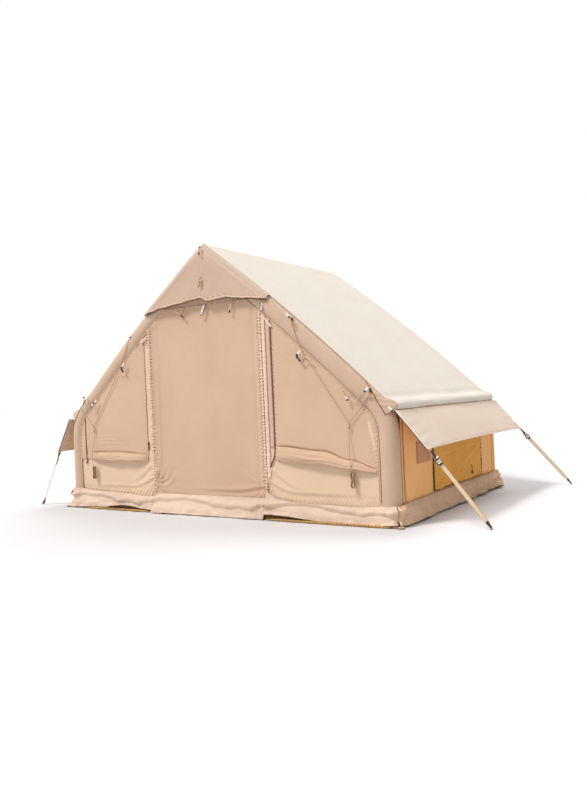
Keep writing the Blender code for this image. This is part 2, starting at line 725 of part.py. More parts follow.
def hood_column(x, depth):
    """Points down the hood at x: over the arch's front quarter, then free to the hem."""
    u = x / HOOD_HALF
    ruffle = HOOD_RUFFLE * math.sin(u * HOOD_RUFFLES * math.pi)
    end, middle = hood_hem()
    hem = end + (middle - end) * (1 - u**4) + ruffle
    ridge = roof_point(share_at_x(abs(x), 0.0)).y
    reach = BEAM_RADIUS + CLEAR + depth
    top_angle = HALF_FACET + HOOD_SEAM / ARCH_INSET
    points = [(ARCH_Y + reach * math.sin(top_angle),
               ridge - (ARCH_INSET - reach * math.cos(top_angle)) / CHORD_OUT.y)]
    reach += HOOD_PROUD
    heights = [ridge - (ARCH_INSET - reach * math.cos(angle)) / CHORD_OUT.y
               for angle in (3 * HALF_FACET, 5 * HALF_FACET)]
    last = heights[-1]
    heights += [last + (hem - last) * share for share in HOOD_DROP_SHARES]
    for index, z in enumerate(heights):
        z = max(z, hem + HOOD_HEM_STEP * (len(heights) - 1 - index))
        across = max(ARCH_INSET - (ridge - z) * CHORD_OUT.y, 0.0)
        free = max(index - 1, 0) / len(HOOD_DROP_SHARES)
        out = (HOOD_FLARE - ruffle) * free**2 * (1 - u * u)
        points.append((ARCH_Y + math.sqrt(max(reach**2 - across**2, 0.0)) + out, z))
    return [Vector((x, -y, z)) for y, z in points]


def build_hood(cloth):
    """A loose triangular hood that hangs over the gable from the roof's front edges."""
    places = [HOOD_HALF * (2 * column / HOOD_COLUMNS - 1) for column in range(HOOD_COLUMNS + 1)]
    outer, inner = ([hood_column(x, depth) for x in places] for depth in (CLOTH, 0.0))
    add_object("gable_hood", sheet("gable_hood", outer, inner), cloth, (0, -HALF_LENGTH, hood_hem()[0]))


# Door with its skirt and zip sliders

def build_door(cloth, metal):
    """A panel hung from its top hem, cut along the arch's seam at its upper corners."""
    line = inner_line(SEAM_OFFSET)
    outline = [Vector((DOOR_LEFT, DOOR_FOOT)), Vector((DOOR_RIGHT, DOOR_FOOT))]
    for side in reversed(SIDES):
        edge = abs(door_side(side))
        if point_at(line, mark(line, lambda p: p.x <= edge)).y < DOOR_TOP:
            slant = part_of(line, lambda p: p.x <= edge, lambda p: p.y >= DOOR_TOP, 2)
        else:
            slant = [Vector((edge, DOOR_TOP))]
        outline += mirrored(slant if side == "right" else slant[::-1], side)
    hinge = (0, -WALL_Y + CLOTH / 2, DOOR_TOP)
    panel = add_object("door_panel", prism("door_panel", upright(outline, -WALL_Y), Vector((0, CLOTH, 0))),
                       cloth, hinge, smooth=False)
    columns = [("front", x) for x in steps_between(DOOR_LEFT, DOOR_RIGHT)]
    skirt = build_skirt("door_skirt", columns, cloth, hinge)
    carry(pivot("door_hinge", hinge), panel, skirt)
    for side in SIDES:
        inner = abs(door_side(side)) + ZIP_GAP + CLEAR
        x = SIGN[side] * (inner + ZIP_WIDTH / 2)
        build_zip_slider(f"door_zip_slider_{side}", x, ZIP_DOOR_HEIGHT, metal)
        x = SIGN[side] * (cover_edge(side) - ZIP_WINDOW_OFF)
        build_zip_slider(f"window_zip_slider_{side}", x, ZIP_WINDOW_HEIGHT, metal)


def build_zip_slider(name, x, z, metal):
    """A slider with its pull hanging, as one outline seen from the side."""
    back = -WALL_Y - CLEAR
    outline = [(depth * ZIP_DEPTH, height * ZIP_LENGTH) for depth, height in ZIP_BODY_SHARES]
    low = -ZIP_LENGTH / 2
    front, rear = (share * ZIP_DEPTH for share in ZIP_PULL_SHARES)
    outline += [(front, low - ZIP_PULL_LENGTH), (rear, low - ZIP_PULL_LENGTH), (rear, low), (0.0, low)]
    start = x - ZIP_WIDTH / 2
    points = [Vector((start, back - depth, z + height)) for depth, height in outline]
    add_object(name, prism(name, points, Vector((ZIP_WIDTH, 0, 0))), metal, (x, back, z), smooth=False)


# Skirts

def steps_between(low, high):
    """Places from low to high, about a skirt's step apart."""
    count = max(2, round(abs(high - low) / SKIRT_STEP))
    return [low + (high - low) * step / count for step in range(count + 1)]


def foot_point(column, half_x, half_y, hugging):
    """A point on the foot line for a column: along the front or rear, round a corner, or along a side."""
    kind, value = column[0], column[1]
    if kind == "corner":
        return ring_corner(half_x, half_y, column[2], column[3], value)
    if kind == "side":
        return Vector((column[2] * half_x, value, 0))
    y = half_y
    if hugging:
        across = abs(value) - LEG_X
        tube = ARCH_Y + math.sqrt(max(BEAM_RADIUS**2 - across**2, 0.0))
        y = max(WALL_Y, tube) + half_y - HALF_LENGTH
    return Vector((value, SIGN[kind] * y, 0))


def skirt_wave(place, phase):
    """A gentle wave along the foot line from -1 to 1, of a long and a short fold."""
    along = place.x + place.y + phase
    wave = math.sin(math.tau * along / SKIRT_WAVE) + math.sin(math.tau * along / SKIRT_RIPPLE)
    return wave / 2


def skirt_row(columns, depth, drop, out_share, phase, on_door):
    """A row of a skirt: drop runs from 0 at the top to 1 at the tub's rim and 2 at the hem."""
    row = []
    for column in columns:
        top = foot_point(column, HALF_WIDTH + depth, HALF_LENGTH + depth, True)
        knee = foot_point(column, TUB_OUT_X + depth, TUB_OUT_Y + depth, False)
        if column[0] == "side":
            out = Vector((column[2], 0, 0))
        elif column[0] == "corner":
            out = Vector((knee.x - column[2] * LEG_X, knee.y - column[3] * ARCH_Y, 0)).normalized()
        else:
            out = Vector((0, SIGN[column[0]], 0))
        wave = skirt_wave(knee, phase)
        reach = SKIRT_HEM_OUT * out_share + SKIRT_FOLD * (1 + wave) * out_share**2
        hem = SKIRT_HEM + SKIRT_LIFT * max(wave, 0.0)
        if on_door:
            side_share = (DOOR_RIGHT - knee.x) / (DOOR_RIGHT - DOOR_LEFT)
            reach += (DOOR_SKIRT_OUT + DOOR_SKIRT_CORNER * side_share**3) * out_share**2
            hem = SKIRT_HEM
        z = SKIRT_TOP + (SKIRT_KNEE - SKIRT_TOP) * min(drop, 1.0) + (hem - SKIRT_KNEE) * max(drop - 1, 0.0)
        row.append(top.lerp(knee, min(drop, 1.0)) + out * reach + Vector((0, 0, z)))
    return row


def build_skirt(name, columns, cloth, origin=(0, 0, 0), phase=0.0):
    """A hanging band of cloth from the wall over the tub to the ground."""
    on_door = name == "door_skirt"
    outer, inner = ([skirt_row(columns, depth, drop, out_share, phase, on_door)
                     for drop, out_share in SKIRT_SHARES] for depth in (CLOTH + CLEAR, CLEAR))
    return add_object(name, sheet(name, outer, inner), cloth, origin)


def build_skirts(cloth):
    seam = 2 * CLEAR / BEAM_RADIUS
    quarter = math.pi / 4
    near = [0.0, HALF_FACET, quarter - seam]
    far = [quarter + seam, 2 * quarter - HALF_FACET, 2 * quarter]
    for side in SIDES:
        sign = SIGN[side]
        edge = abs(door_side(side)) + ZIP_GAP
        columns = [("front", sign * x) for x in steps_between(edge, LEG_X)[:-1]]
        columns += [("corner", angle, sign, -1) for angle in near]
        build_skirt(f"skirt_front_{side}", columns, cloth, phase=sign * SKIRT_RIPPLE)
        columns = [("corner", angle, sign, -1) for angle in far]
        columns += [("side", y, sign) for y in steps_between(-ARCH_Y, ARCH_Y)[1:-1]]
        columns += [("corner", angle, sign, 1) for angle in reversed(far)]
        build_skirt(f"skirt_side_{side}", columns, cloth)
    columns = [("corner", angle, -1, 1) for angle in reversed(near)]
    columns += [("rear", x) for x in steps_between(-LEG_X, LEG_X)[1:-1]]
    columns += [("corner", angle, 1, 1) for angle in near]
    build_skirt("skirt_rear", columns, cloth)


# Roof

def roof_grid(sign, depth):
    """Rows across the roof, from its front edge to its rear edge, each from the ridge to the eave seam."""
    rows = []
    reach = ARCH_INSET - depth
    lap = (ARCH_INSET - reach * math.cos(HALF_FACET), ARCH_Y + reach * math.sin(HALF_FACET), 0.0)
    spans = [(depth, share * ARCH_Y, ROOF_SAG * (1 - share**2)) for share in ROOF_SPAN_SHARES]
    strips = [(lap[0], -lap[1], lap[2]), *spans, lap]
    for inset, y, sag in strips:
        shares = [share_at_x(RIDGE_SEAM, inset)] + rafter_shares()[::-1]
        line = [roof_point(share, inset + sag * math.sin(math.pi * share) ** 2) for share in shares]
        start = roof_point(ROLL_START_SHARE, inset)
        shoulder = Vector((HALF_WIDTH + EAVE_ROLL_PROUD - inset, EAVE_HEIGHT + EAVE_ROLL_RISE))
        seam = Vector((HALF_WIDTH - EAVE_TUCK - inset, EAVE_HEIGHT + EAVE_SEAM_GAP))
        line += bend(start, shoulder, seam, EAVE_ROLL_STEPS)
        rows.append([Vector((sign * point.x, y, point.y)) for point in line])
    return rows


def build_roof(cloth):
    for side in SIDES:
        name = f"roof_{side}"
        panel = sheet(name, roof_grid(SIGN[side], 0.0), roof_grid(SIGN[side], CLOTH))
        add_object(name, panel, cloth, (0, 0, RIDGE_HEIGHT))


# Side walls, flaps and screens

def side_rectangle(x, front, rear, low, high):
    return [Vector((x, y, z)) for y, z in ((front, low), (rear, low), (rear, high), (front, high))]


def flap_rectangle(x, lap):
    """The window flap's outline drawn in by a lap."""
    return side_rectangle(x, FLAP_FRONT + lap, FLAP_REAR - lap, FLAP_FOOT + lap, FLAP_TOP - lap)


def build_side_wall(side, cloth, flap_cloth, mesh_cloth):
    sign = SIGN[side]
    x = sign * HALF_WIDTH
    outline = side_rectangle(x, -ARCH_Y, ARCH_Y, FLOOR_TOP, EAVE_HEIGHT + SIDE_TOP_LAP)
    hole = flap_rectangle(x, HOLE_LAP)
    name = f"side_wall_{side}"
    wall = framed_prism(name, outline, hole, Vector((-sign * CLOTH, 0, 0)))
    add_object(name, wall, cloth, (x, 0, 0), smooth=False)
    name = f"side_window_screen_{side}"
    x = sign * (HALF_WIDTH - CLOTH - CLEAR)
    screen = prism(name, flap_rectangle(x, HOLE_LAP - SCREEN_LAP), Vector((-sign * SCREEN, 0, 0)))
    add_object(name, screen, mesh_cloth, (x, 0, FLAP_FOOT), smooth=False)
    hem = (sign * HINGE_X, FLAP_FRONT, FLAP_TOP)
    flap = hinged_cloth(f"side_window_flap_{side}", hem, Vector((0, 0, -1)), FLAP_TOP - FLAP_FOOT,
                        FLAP_REAR - FLAP_FRONT, flap_cloth)
    carry(pivot(f"flap_hinge_{side}", flap.location), flap)


def half_circle(centre, radius, start, steps):
    """Points of a half turn in the XZ plane."""
    angles = [start + math.pi * step / steps for step in range(steps + 1)]
    return [centre + Vector((math.cos(angle), 0, math.sin(angle))) * radius for angle in angles]


def hinged_cloth(name, hem, down, length, width, cloth):
    """A flat panel hung from a hem that runs along Y, with both its edges rounded."""
    start = Vector(hem)
    radius = CLOTH / 2
    lean = math.atan2(down.z, down.x)
    outline = half_circle(start, radius, lean + math.pi / 2, EDGE_STEPS)
    outline += half_circle(start + down * (length - radius), radius, lean - math.pi / 2, EDGE_STEPS)
    return add_object(name, prism(name, outline, Vector((0, width, 0))), cloth, hem)


# Awnings, webbing guys and their sliders

def build_awning(side, cloth, webbing, plastic):
    sign = SIGN[side]
    slope = AWNING_SLOPE[side]
    down = Vector((sign * math.cos(slope), 0, -math.sin(slope)))
    hem = (sign * HINGE_X, -AWNING_HALF, EAVE_HEIGHT)
    awning = hinged_cloth(f"awning_{side}", hem, down, AWNING_LENGTH, 2 * AWNING_HALF, cloth)
    hinge = pivot(f"awning_hinge_{side}", hem)
    knuckle = Vector((sign * HINGE_X, 0, EAVE_HEIGHT)) + down * (AWNING_LENGTH + CLEAR + KNUCKLE_RADIUS)
    guy_hinge = pivot(f"guy_hinge_{side}", knuckle)
    for end in ENDS:
        start = knuckle + Vector((0, SIGN[end] * (AWNING_HALF - STRAP_INSET), 0))
        peg_y = SIGN[end] * (AWNING_HALF + PEG_PAST[side][end])
        peg = Vector((sign * (HALF_WIDTH + PEG_OUT[side]), peg_y, PEG_RADIUS + PEG_LIFT))
        strap = build_strap(f"guy_strap_{side}_{end}", start, peg, webbing)
        slider = build_slider(f"guy_slider_{side}_{end}", start, peg, plastic)
        carry(guy_hinge, strap, slider)
    carry(hinge, awning, guy_hinge)


def build_strap(name, start, peg, webbing):
    """Webbing from a knuckle at the awning's hem to the peg's round head, wide along Y."""
    run = peg - start
    flat = Vector((run.x, 0, run.z))
    length = flat.length
    along = flat / length
    across = Vector((-along.z, 0, along.x))
    outline = []
    for centre, radius, turn in ((0.0, KNUCKLE_RADIUS, math.pi), (length, PEG_RADIUS, 0.0)):
        neck = math.asin(STRAP / 2 / radius)
        for step in range(2 * EDGE_STEPS + 1):
            angle = turn - (math.pi - neck) + 2 * (math.pi - neck) * step / (2 * EDGE_STEPS)
            outline.append(along * (centre + radius * math.cos(angle)) + across * radius * math.sin(angle))
    skew = run.y / length
    half = Vector((0, STRAP_WIDTH / 2, 0))
    points = [start - half + point + Vector((0, point.dot(along) * skew, 0)) for point in outline]
    return add_object(name, prism(name, points, 2 * half), webbing, start)


def build_slider(name, start, peg, plastic):
    """A plastic slider: a flat frame that the webbing runs through."""
    along = (peg - start).normalized()
    normal = along.cross(Vector((0, 1, 0))).normalized()
    axes = (along, normal.cross(along), normal)
    centre = start + along * SLIDER_FROM_HEM
    size = (SLIDER_LENGTH, SLIDER_WIDTH, SLIDER_DEPTH)
    made = add_object(name, box(name, centre, size, axes), plastic, centre, smooth=False)
    slot = (SLIDER_LENGTH + OVERRUN, STRAP_WIDTH + 2 * SLIDER_SLACK, STRAP + 2 * SLIDER_SLACK)
    round_edges(made, SLIDER_BEVEL)
    combine(made, add_object(f"{name}_slot", box(name, centre, slot, axes), plastic), "DIFFERENCE")
    return made


# Stowed guy lines with their anchors on the front arch

def anchor_frame(side, place):
    """The middle, facing and downward directions of an anchor that lies on the arch's front."""
    share = ANCHOR_SHARES[side][place]
    centre = roof_point(share, ARCH_INSET)
    out = (roof_point(share) - centre).normalized()
    facing = Vector((SIGN[side] * out.x * math.cos(ANCHOR_ANGLE), -math.sin(ANCHOR_ANGLE),
                     out.y * math.cos(ANCHOR_ANGLE)))
    middle = Vector((SIGN[side] * centre.x, -ARCH_Y, centre.y))
    middle += facing * (BEAM_RADIUS + CLEAR + ANCHOR_DEPTH / 2)
    down = Vector((0, 0, -1))
    down = (down - facing * down.dot(facing)).normalized()
    return middle, facing, down


def build_anchor(side, place, plastic):
    middle, facing, down = anchor_frame(side, place)
    name = f"guy_anchor_{place}_{side}"
    size = (ANCHOR_WIDTH, ANCHOR_DEPTH, ANCHOR_HEIGHT)
    axes = (facing.cross(down), facing, down)
    made = add_object(name, box(name, middle, size, axes), plastic, middle, smooth=False)
    round_edges(made, ANCHOR_BEVEL)
    return middle + down * (ANCHOR_HEIGHT / 2 + CLEAR), down


def smooth_route(points, steps):
    """Points of a smooth curve through a route's own points, evenly shared among them."""
    ends = [points[0] * 2 - points[1], *points, points[-1] * 2 - points[-2]]
    out = []
    for step in range(steps + 1):
        where = step / steps * (len(points) - 1)
        index = min(int(where), len(points) - 2)
        t = where - index
        a, b, c, d = ends[index:index + 4]
        out.append((b * 2 + (c - a) * t + (a * 2 - b * 5 + c * 4 - d) * t**2
                    + (b * 3 - a - c * 3 + d) * t**3) / 2)
    return out


def add_cord(name, points, resolution, finish):
    """A cord as a round curve through points, with closed ends."""
    data = bpy.data.curves.new(name, "CURVE")
    data.dimensions = "3D"
    data.bevel_depth = CORD / 2
    data.bevel_resolution = resolution
    data.use_fill_caps = True
    line = data.splines.new("POLY")
    line.points.add(len(points) - 1)
    for slot, point in zip(line.points, points):
        slot.co = (*point, 1)
    data.materials.append(finish)
    made = bpy.data.objects.new(name, data)
    bpy.context.scene.collection.objects.link(made)
    return made


def hank_points(side):
    """A hank of upright loops drawn in at the waist, each a pitch nearer the wall than the last."""
    top = hank_top(side)
    points = [top, top - Vector((0, 0, HANK_STUB / 2))]
    first = round(HANK_TURN_SHARE * HANK_POINTS)
    for step in range(first, HANK_LOOPS * HANK_POINTS + 1):
        turns = step / HANK_POINTS
        angle = math.pi / 2 + SIGN[side] * math.tau * turns
        height, across = math.sin(angle), math.cos(angle)
        half = HANK_WIDTH / 2 - (HANK_WIDTH - HANK_WAIST) / 2 * (1 - height**2) ** 2
        x = HANK_CENTRE[side] + half * math.copysign(abs(across) ** HANK_SQUARE_SHARE, across)
        z = HANK_TOP - HANK_HEIGHT / 2 * (1 - height)
        points.append(Vector((x, -WALL_Y - HANK_FRONT + HANK_PITCH * turns, z)))
    points.append(points[-1] + (points[-1] - points[-2]).normalized() * CORD)
    return points


def hank_top(side):
    return Vector((HANK_CENTRE[side], -WALL_Y - HANK_FRONT, HANK_TOP + HANK_STUB))


def least_gap(points):
    """The least gap between a cord's turns, measured between points at least half a turn apart."""
    apart = HANK_POINTS // 2
    pairs = ((a, b) for i, a in enumerate(points) for b in points[i + apart:])
    return min((a - b).length for a, b in pairs) - CORD


def build_guy_lines(side, rope, plastic):
    """Two cords that meet in a V, and the hank that the longer one is wound up in."""
    ends = {"upper": (f"guy_line_{side}", CORD_ROUTES[side], CORD_STEPS),
            "hook": (f"guy_leg_{side}", LEG_ROUTES[side], LEG_STEPS)}
    loops = hank_points(side)
    for place, (name, route, steps) in ends.items():
        start, down = build_anchor(side, place, plastic)
        points = [start, start + down * STRAIGHT] + [Vector((x, -WALL_Y - depth, z)) for x, depth, z in route]
        if place == "upper":
            points += [loops[0] + Vector((0, 0, rise)) for rise in (CORD + STRAIGHT, CLEAR)]
        add_cord(name, smooth_route(points, steps), 2, rope)
    print(f"guy_hank_{side}: least gap {least_gap(loops) * 1000:.2f} mm")
    add_cord(f"guy_hank_{side}", loops, 1, rope)


def main():
    for old in list(bpy.data.objects):
        bpy.data.objects.remove(old, do_unlink=True)
    front_cloth = material("front cloth", (0.73, 0.50, 0.34), 0.85)
    roof_cloth = material("roof cloth", (0.88, 0.80, 0.71), 0.8)
    flap_cloth = material("flap cloth", (0.47, 0.24, 0.05), 0.8)
    mesh_cloth = material("insect mesh", (0.10, 0.07, 0.05), 0.9)
    film = material("bladder film", (0.75, 0.74, 0.68), 0.35)
    tarp = material("groundsheet", (0.28, 0.15, 0.05), 0.6)
    webbing = material("webbing", (0.86, 0.70, 0.52), 0.85)
    rope = material("rope", (0.22, 0.15, 0.10), 0.8)
    plastic = material("dark plastic", (0.03, 0.02, 0.02), 0.45)
    metal = material("zip metal", (0.32, 0.24, 0.18), 0.4, 1.0)
    build_groundsheet(tarp)
    build_air_frame(front_cloth, film)
    build_valve(plastic)
    for side in SIDES:
        build_front_wall(side, front_cloth, mesh_cloth)
        build_side_wall(side, front_cloth, flap_cloth, mesh_cloth)
        build_awning(side, roof_cloth, webbing, plastic)
        build_guy_lines(side, rope, plastic)
    build_gable(front_cloth)
    build_hood(front_cloth)
    build_rear_wall(front_cloth)
    build_door(front_cloth, metal)
    build_skirts(front_cloth)
    build_roof(roof_cloth)


main()
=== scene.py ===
"""Looks of an inflatable cabin tent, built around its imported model.

Metres, +Z up. The origin is on the ground under the middle of the tent, and the door faces -Y.
"""

import math

import bmesh
import bpy
from mathutils import Matrix, Vector, noise


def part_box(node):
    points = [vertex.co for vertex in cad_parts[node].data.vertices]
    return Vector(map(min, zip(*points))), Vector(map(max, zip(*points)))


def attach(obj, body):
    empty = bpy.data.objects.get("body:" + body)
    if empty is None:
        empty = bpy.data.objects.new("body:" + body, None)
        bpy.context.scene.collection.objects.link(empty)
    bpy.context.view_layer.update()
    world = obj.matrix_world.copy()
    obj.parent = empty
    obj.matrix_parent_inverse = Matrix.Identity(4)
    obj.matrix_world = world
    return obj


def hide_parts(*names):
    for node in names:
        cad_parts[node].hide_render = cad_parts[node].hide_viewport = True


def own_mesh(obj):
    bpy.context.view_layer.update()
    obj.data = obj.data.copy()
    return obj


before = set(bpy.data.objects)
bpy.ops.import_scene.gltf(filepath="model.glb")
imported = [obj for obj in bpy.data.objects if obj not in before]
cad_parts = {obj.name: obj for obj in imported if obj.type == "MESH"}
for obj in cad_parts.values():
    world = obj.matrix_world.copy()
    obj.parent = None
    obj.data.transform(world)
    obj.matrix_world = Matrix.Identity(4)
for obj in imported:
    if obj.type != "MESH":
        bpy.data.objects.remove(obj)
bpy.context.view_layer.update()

# Sizes of the model that the looks follow
HALF_WIDTH = 1.550
HALF_LENGTH = 1.030
RIDGE_HEIGHT = 2.065
EAVE_HEIGHT = 0.755
RAFTER_CROWN = 0.034
CLOTH = 0.004
CLEAR = 0.0004
BEAM_RADIUS = 0.075
CROSS_RADIUS = 0.050
SLEEVE_WALL = 0.003
BLADDER_SLACK = 0.005
EAVE_BEND = 0.130
APEX_BEND = 0.120
SEAM_OFFSET = 0.0487
ARCH_INSET = CLOTH + CLEAR + BEAM_RADIUS
ARCH_Y = HALF_LENGTH - BEAM_RADIUS
WALL_Y = HALF_LENGTH - 0.015
LEG_X = HALF_WIDTH - ARCH_INSET
FLOOR = 0.006
TUB_X = HALF_WIDTH + CLEAR + CLOTH
TUB_Y = HALF_LENGTH + CLEAR + CLOTH
DOOR = {"left": -0.562, "right": 0.505}
DOOR_TOP = 1.600
DOOR_FOOT = 0.100
ZIP_GAP = 0.003
COVER_START = {"left": 0.632, "right": 0.610}
HINGE_X = HALF_WIDTH + CLEAR + CLOTH / 2
AWNING_LENGTH = 0.325
AWNING_HALF = 1.020
AWNING_SLOPE = {"right": math.radians(49.7), "left": math.radians(60)}
PEG_X = {"right": 2.100, "left": 1.950}
PEG_Y = {"right": {"front": -0.880, "rear": 1.300}, "left": {"front": -1.020, "rear": 1.300}}
PEG_Z = 0.0066
FLAP_FRONT = -0.430
FLAP_REAR = 0.585
FLAP_TOP = 0.565
FLAP_FOOT = 0.160
SIGN = {"right": 1, "left": -1, "front": -1, "rear": 1}
SIDES = ("left", "right")
ENDS = ("front", "rear")
TO_FRONT = (0, -1, 0)
ROOF_RISE = RIDGE_HEIGHT - EAVE_HEIGHT
CHORD = math.hypot(HALF_WIDTH, ROOF_RISE)
CHORD_OUT = Vector((ROOF_RISE / CHORD, HALF_WIDTH / CHORD))

# Thickness, fineness and fullness of the modelled cloth
FABRIC = 0.0012
SCREEN = 0.0006
STEP = 0.011
FINE_STEP = 0.004
PUCKER_LIFT = 2.3
GATHER = 1.36

# Camera, placed from the photograph's vanishing lines
CAMERA_PLACE = Vector((3.563, -5.3286, 0.9007))
CAMERA_YAW = -0.5738
CAMERA_PITCH = 0.0011
CAMERA_ROLL = -0.0457
FOCAL_PIXELS = 734.27
CENTRE_PIXEL = (293.157, 391.742)
PHOTO_WIDTH = 587
PHOTO_HEIGHT = 800
SENSOR = 36.0
CLIP_END = 200

# Light
DAYLIGHT = 0.54
SUN_STRENGTH = 2.5
SUN_SPREAD = math.radians(13)
SUN_WAY = Vector((0.34, 0.46, -0.82))
TOP_STRENGTH = 1.5
TOP_SPREAD = math.radians(34)
TOP_WAY = Vector((-0.10, -0.55, -1.0))
SUN_COLOUR = (1.0, 0.985, 0.965)

# Floor that the tent stands on
STAGE_HALF = 60.0
STAGE_DROP = 0.0005
STAGE_COLOUR = (211, 211, 213)
STAGE_ROUGHNESS = 0.9

# Guy lines: routes as (x, depth in front of the front wall, z), as the model has them
CORD = 0.004
CORD_ROUTES = {
    "right": (
        (0.803, 0.0140, 1.374), (0.812, 0.0190, 1.344), (0.834, 0.0200, 1.280), (0.861, 0.0190, 1.210),
        (0.892, 0.0175, 1.150), (0.942, 0.0165, 1.083), (1.000, 0.0165, 0.998), (1.062, 0.0170, 0.905),
        (1.124, 0.0180, 0.815), (1.180, 0.0200, 0.732), (1.213, 0.0230, 0.682), (1.220, 0.0250, 0.640),
        (1.216, 0.0280, 0.594), (1.220, 0.0350, 0.540), (1.224, 0.0440, 0.492), (1.226, 0.0460, 0.440),
        (1.228, 0.0400, 0.398),
    ),
    "left": (
        (-0.786, 0.0140, 1.388), (-0.796, 0.0190, 1.360), (-0.818, 0.0200, 1.306), (-0.852, 0.0190, 1.238),
        (-0.898, 0.0180, 1.168), (-0.953, 0.0170, 1.088), (-1.016, 0.0165, 0.995), (-1.080, 0.0170, 0.905),
        (-1.142, 0.0180, 0.815), (-1.188, 0.0200, 0.742), (-1.214, 0.0230, 0.696), (-1.222, 0.0250, 0.640),
        (-1.222, 0.0280, 0.594), (-1.226, 0.0360, 0.540), (-1.232, 0.0440, 0.492), (-1.236, 0.0450, 0.440),
        (-1.242, 0.0400, 0.398),
    ),
}
LEG_ROUTES = {
    "right": (
        (1.372, 0.0145, 0.857), (1.352, 0.0200, 0.832), (1.315, 0.0195, 0.788), (1.274, 0.0210, 0.738),
        (1.240, 0.0240, 0.702), (1.2270, 0.0248, 0.682), (1.2242, 0.0252, 0.655),
    ),
    "left": (
        (-1.376, 0.0145, 0.866), (-1.376, 0.0200, 0.844), (-1.356, 0.0205, 0.812), (-1.312, 0.0215, 0.772),
        (-1.262, 0.0245, 0.724), (-1.2325, 0.0250, 0.694), (-1.2260, 0.0254, 0.655),
    ),
}
ANCHOR_SHARES = {"right": {"upper": 0.495, "hook": 0.110}, "left": {"upper": 0.505, "hook": 0.116}}
ANCHOR_ANGLE = math.radians(45)
ANCHOR_HEIGHT = 0.030
ANCHOR_DEPTH = 0.009
STRAIGHT = 0.007
KNOT_POINT = 11
HANK_LOOPS = 5
HANK_POINTS = 24
HANK_TOP = 0.354
HANK_CENTRE = {"right": 1.230, "left": -1.245}
HANK_FRONT = 0.036
HANK_STUB = 0.012
HANK_HEIGHT = 0.104
HANK_WIDTH = 0.034
HANK_WAIST = 0.014
HANK_PITCH = 0.0048
HANK_SQUARE_SHARE = 0.6
HANK_TURN_SHARE = 1 / 12


# Materials

def shader_of(name, colour, roughness, metallic=0.0, sheen=0.0):
    """A new material with its node tree, its shader and its colour as linear light."""
    made = bpy.data.materials.new(name)
    made.use_nodes = True
    shader = made.node_tree.nodes["Principled BSDF"]
    shader.inputs["Roughness"].default_value = roughness
    shader.inputs["Metallic"].default_value = metallic
    shader.inputs["Sheen Weight"].default_value = sheen
    return made, made.node_tree, shader, (*[linear(value) for value in colour], 1.0)


def linear(value):
    """Linear light of a screen colour value from 0 to 255."""
    share = value / 255
    return share / 12.92 if share < 0.04 else ((share + 0.055) / 1.055) ** 2.4


def noise_node(tree, place, scale, detail=2.0):
    node = tree.nodes.new("ShaderNodeTexNoise")
    node.inputs["Scale"].default_value = scale
    node.inputs["Detail"].default_value = detail
    tree.links.new(place, node.inputs["Vector"])
    return node.outputs["Fac"]


def math_node(tree, operation, first, second=None):
    node = tree.nodes.new("ShaderNodeMath")
    node.operation = operation
    for slot, value in zip(node.inputs, (first, second)):
        if hasattr(value, "links"):
            tree.links.new(value, slot)
        elif value is not None:
            slot.default_value = value
    return node.outputs[0]


def mix_node(tree, factor, first, second):
    """A mix of two colours, given as sockets or as values."""
    node = tree.nodes.new("ShaderNodeMix")
    node.data_type = "RGBA"
    for slot, value in zip((node.inputs[0], node.inputs[6], node.inputs[7]), (factor, first, second)):
        if hasattr(value, "links"):
            tree.links.new(value, slot)
        else:
            slot.default_value = value
    return node.outputs[2]


def weave_of(tree, place, pitch):
    """A height from 0 to 1 of crossed threads a pitch apart, along all three axes."""
    split = tree.nodes.new("ShaderNodeSeparateXYZ")
    tree.links.new(place, split.inputs[0])
    waves = [math_node(tree, "SINE", math_node(tree, "MULTIPLY", socket, math.tau / pitch))
             for socket in split.outputs]
    total = math_node(tree, "ADD", math_node(tree, "ADD", waves[0], waves[1]), waves[2])
    return math_node(tree, "MULTIPLY_ADD", total, 0.17)


def bumped(tree, shader, layers):
    """Chains bump nodes of (height, distance) into the shader's normal."""
    normal = None
    for height, distance in layers:
        node = tree.nodes.new("ShaderNodeBump")
        node.inputs["Distance"].default_value = distance
        tree.links.new(height, node.inputs["Height"])
        if normal:
            tree.links.new(normal, node.inputs["Normal"])
        normal = node.outputs["Normal"]
    tree.links.new(normal, shader.inputs["Normal"])


def cloth_material(name, colour, shade, pitch=0.0016, roughness=0.80, sheen=0.12, crease=0.0040):
    """Woven cloth: slow drifts towards a shade, fine mottling, soft creases and a weave."""
    made, tree, shader, light = shader_of(name, colour, roughness, sheen=sheen)
    place = tree.nodes.new("ShaderNodeTexCoord").outputs["Object"]
    dark = (*[linear(value) for value in shade], 1.0)
    drift = noise_node(tree, place, 2.6, 3.0)
    spread = math_node(tree, "MULTIPLY", math_node(tree, "SUBTRACT", drift, 0.38), 1.5)
    node = tree.nodes.new("ShaderNodeClamp")
    tree.links.new(spread, node.inputs[0])
    base = mix_node(tree, node.outputs[0], light, dark)
    mottle = math_node(tree, "MULTIPLY", noise_node(tree, place, 90.0, 3.0), 0.10)
    base = mix_node(tree, mottle, base, dark)
    weave = weave_of(tree, place, pitch)
    base = mix_node(tree, math_node(tree, "MULTIPLY", weave, 0.10), base, dark)
    tree.links.new(base, shader.inputs["Base Color"])
    rough = math_node(tree, "MULTIPLY_ADD", noise_node(tree, place, 14.0), 0.12)
    rough.node.inputs[2].default_value = roughness - 0.06
    tree.links.new(rough, shader.inputs["Roughness"])
    creases = noise_node(tree, place, 7.0, 5.0)
    bumped(tree, shader, ((creases, crease), (noise_node(tree, place, 32.0, 3.0), 0.0010), (weave, 0.00022)))
    return made


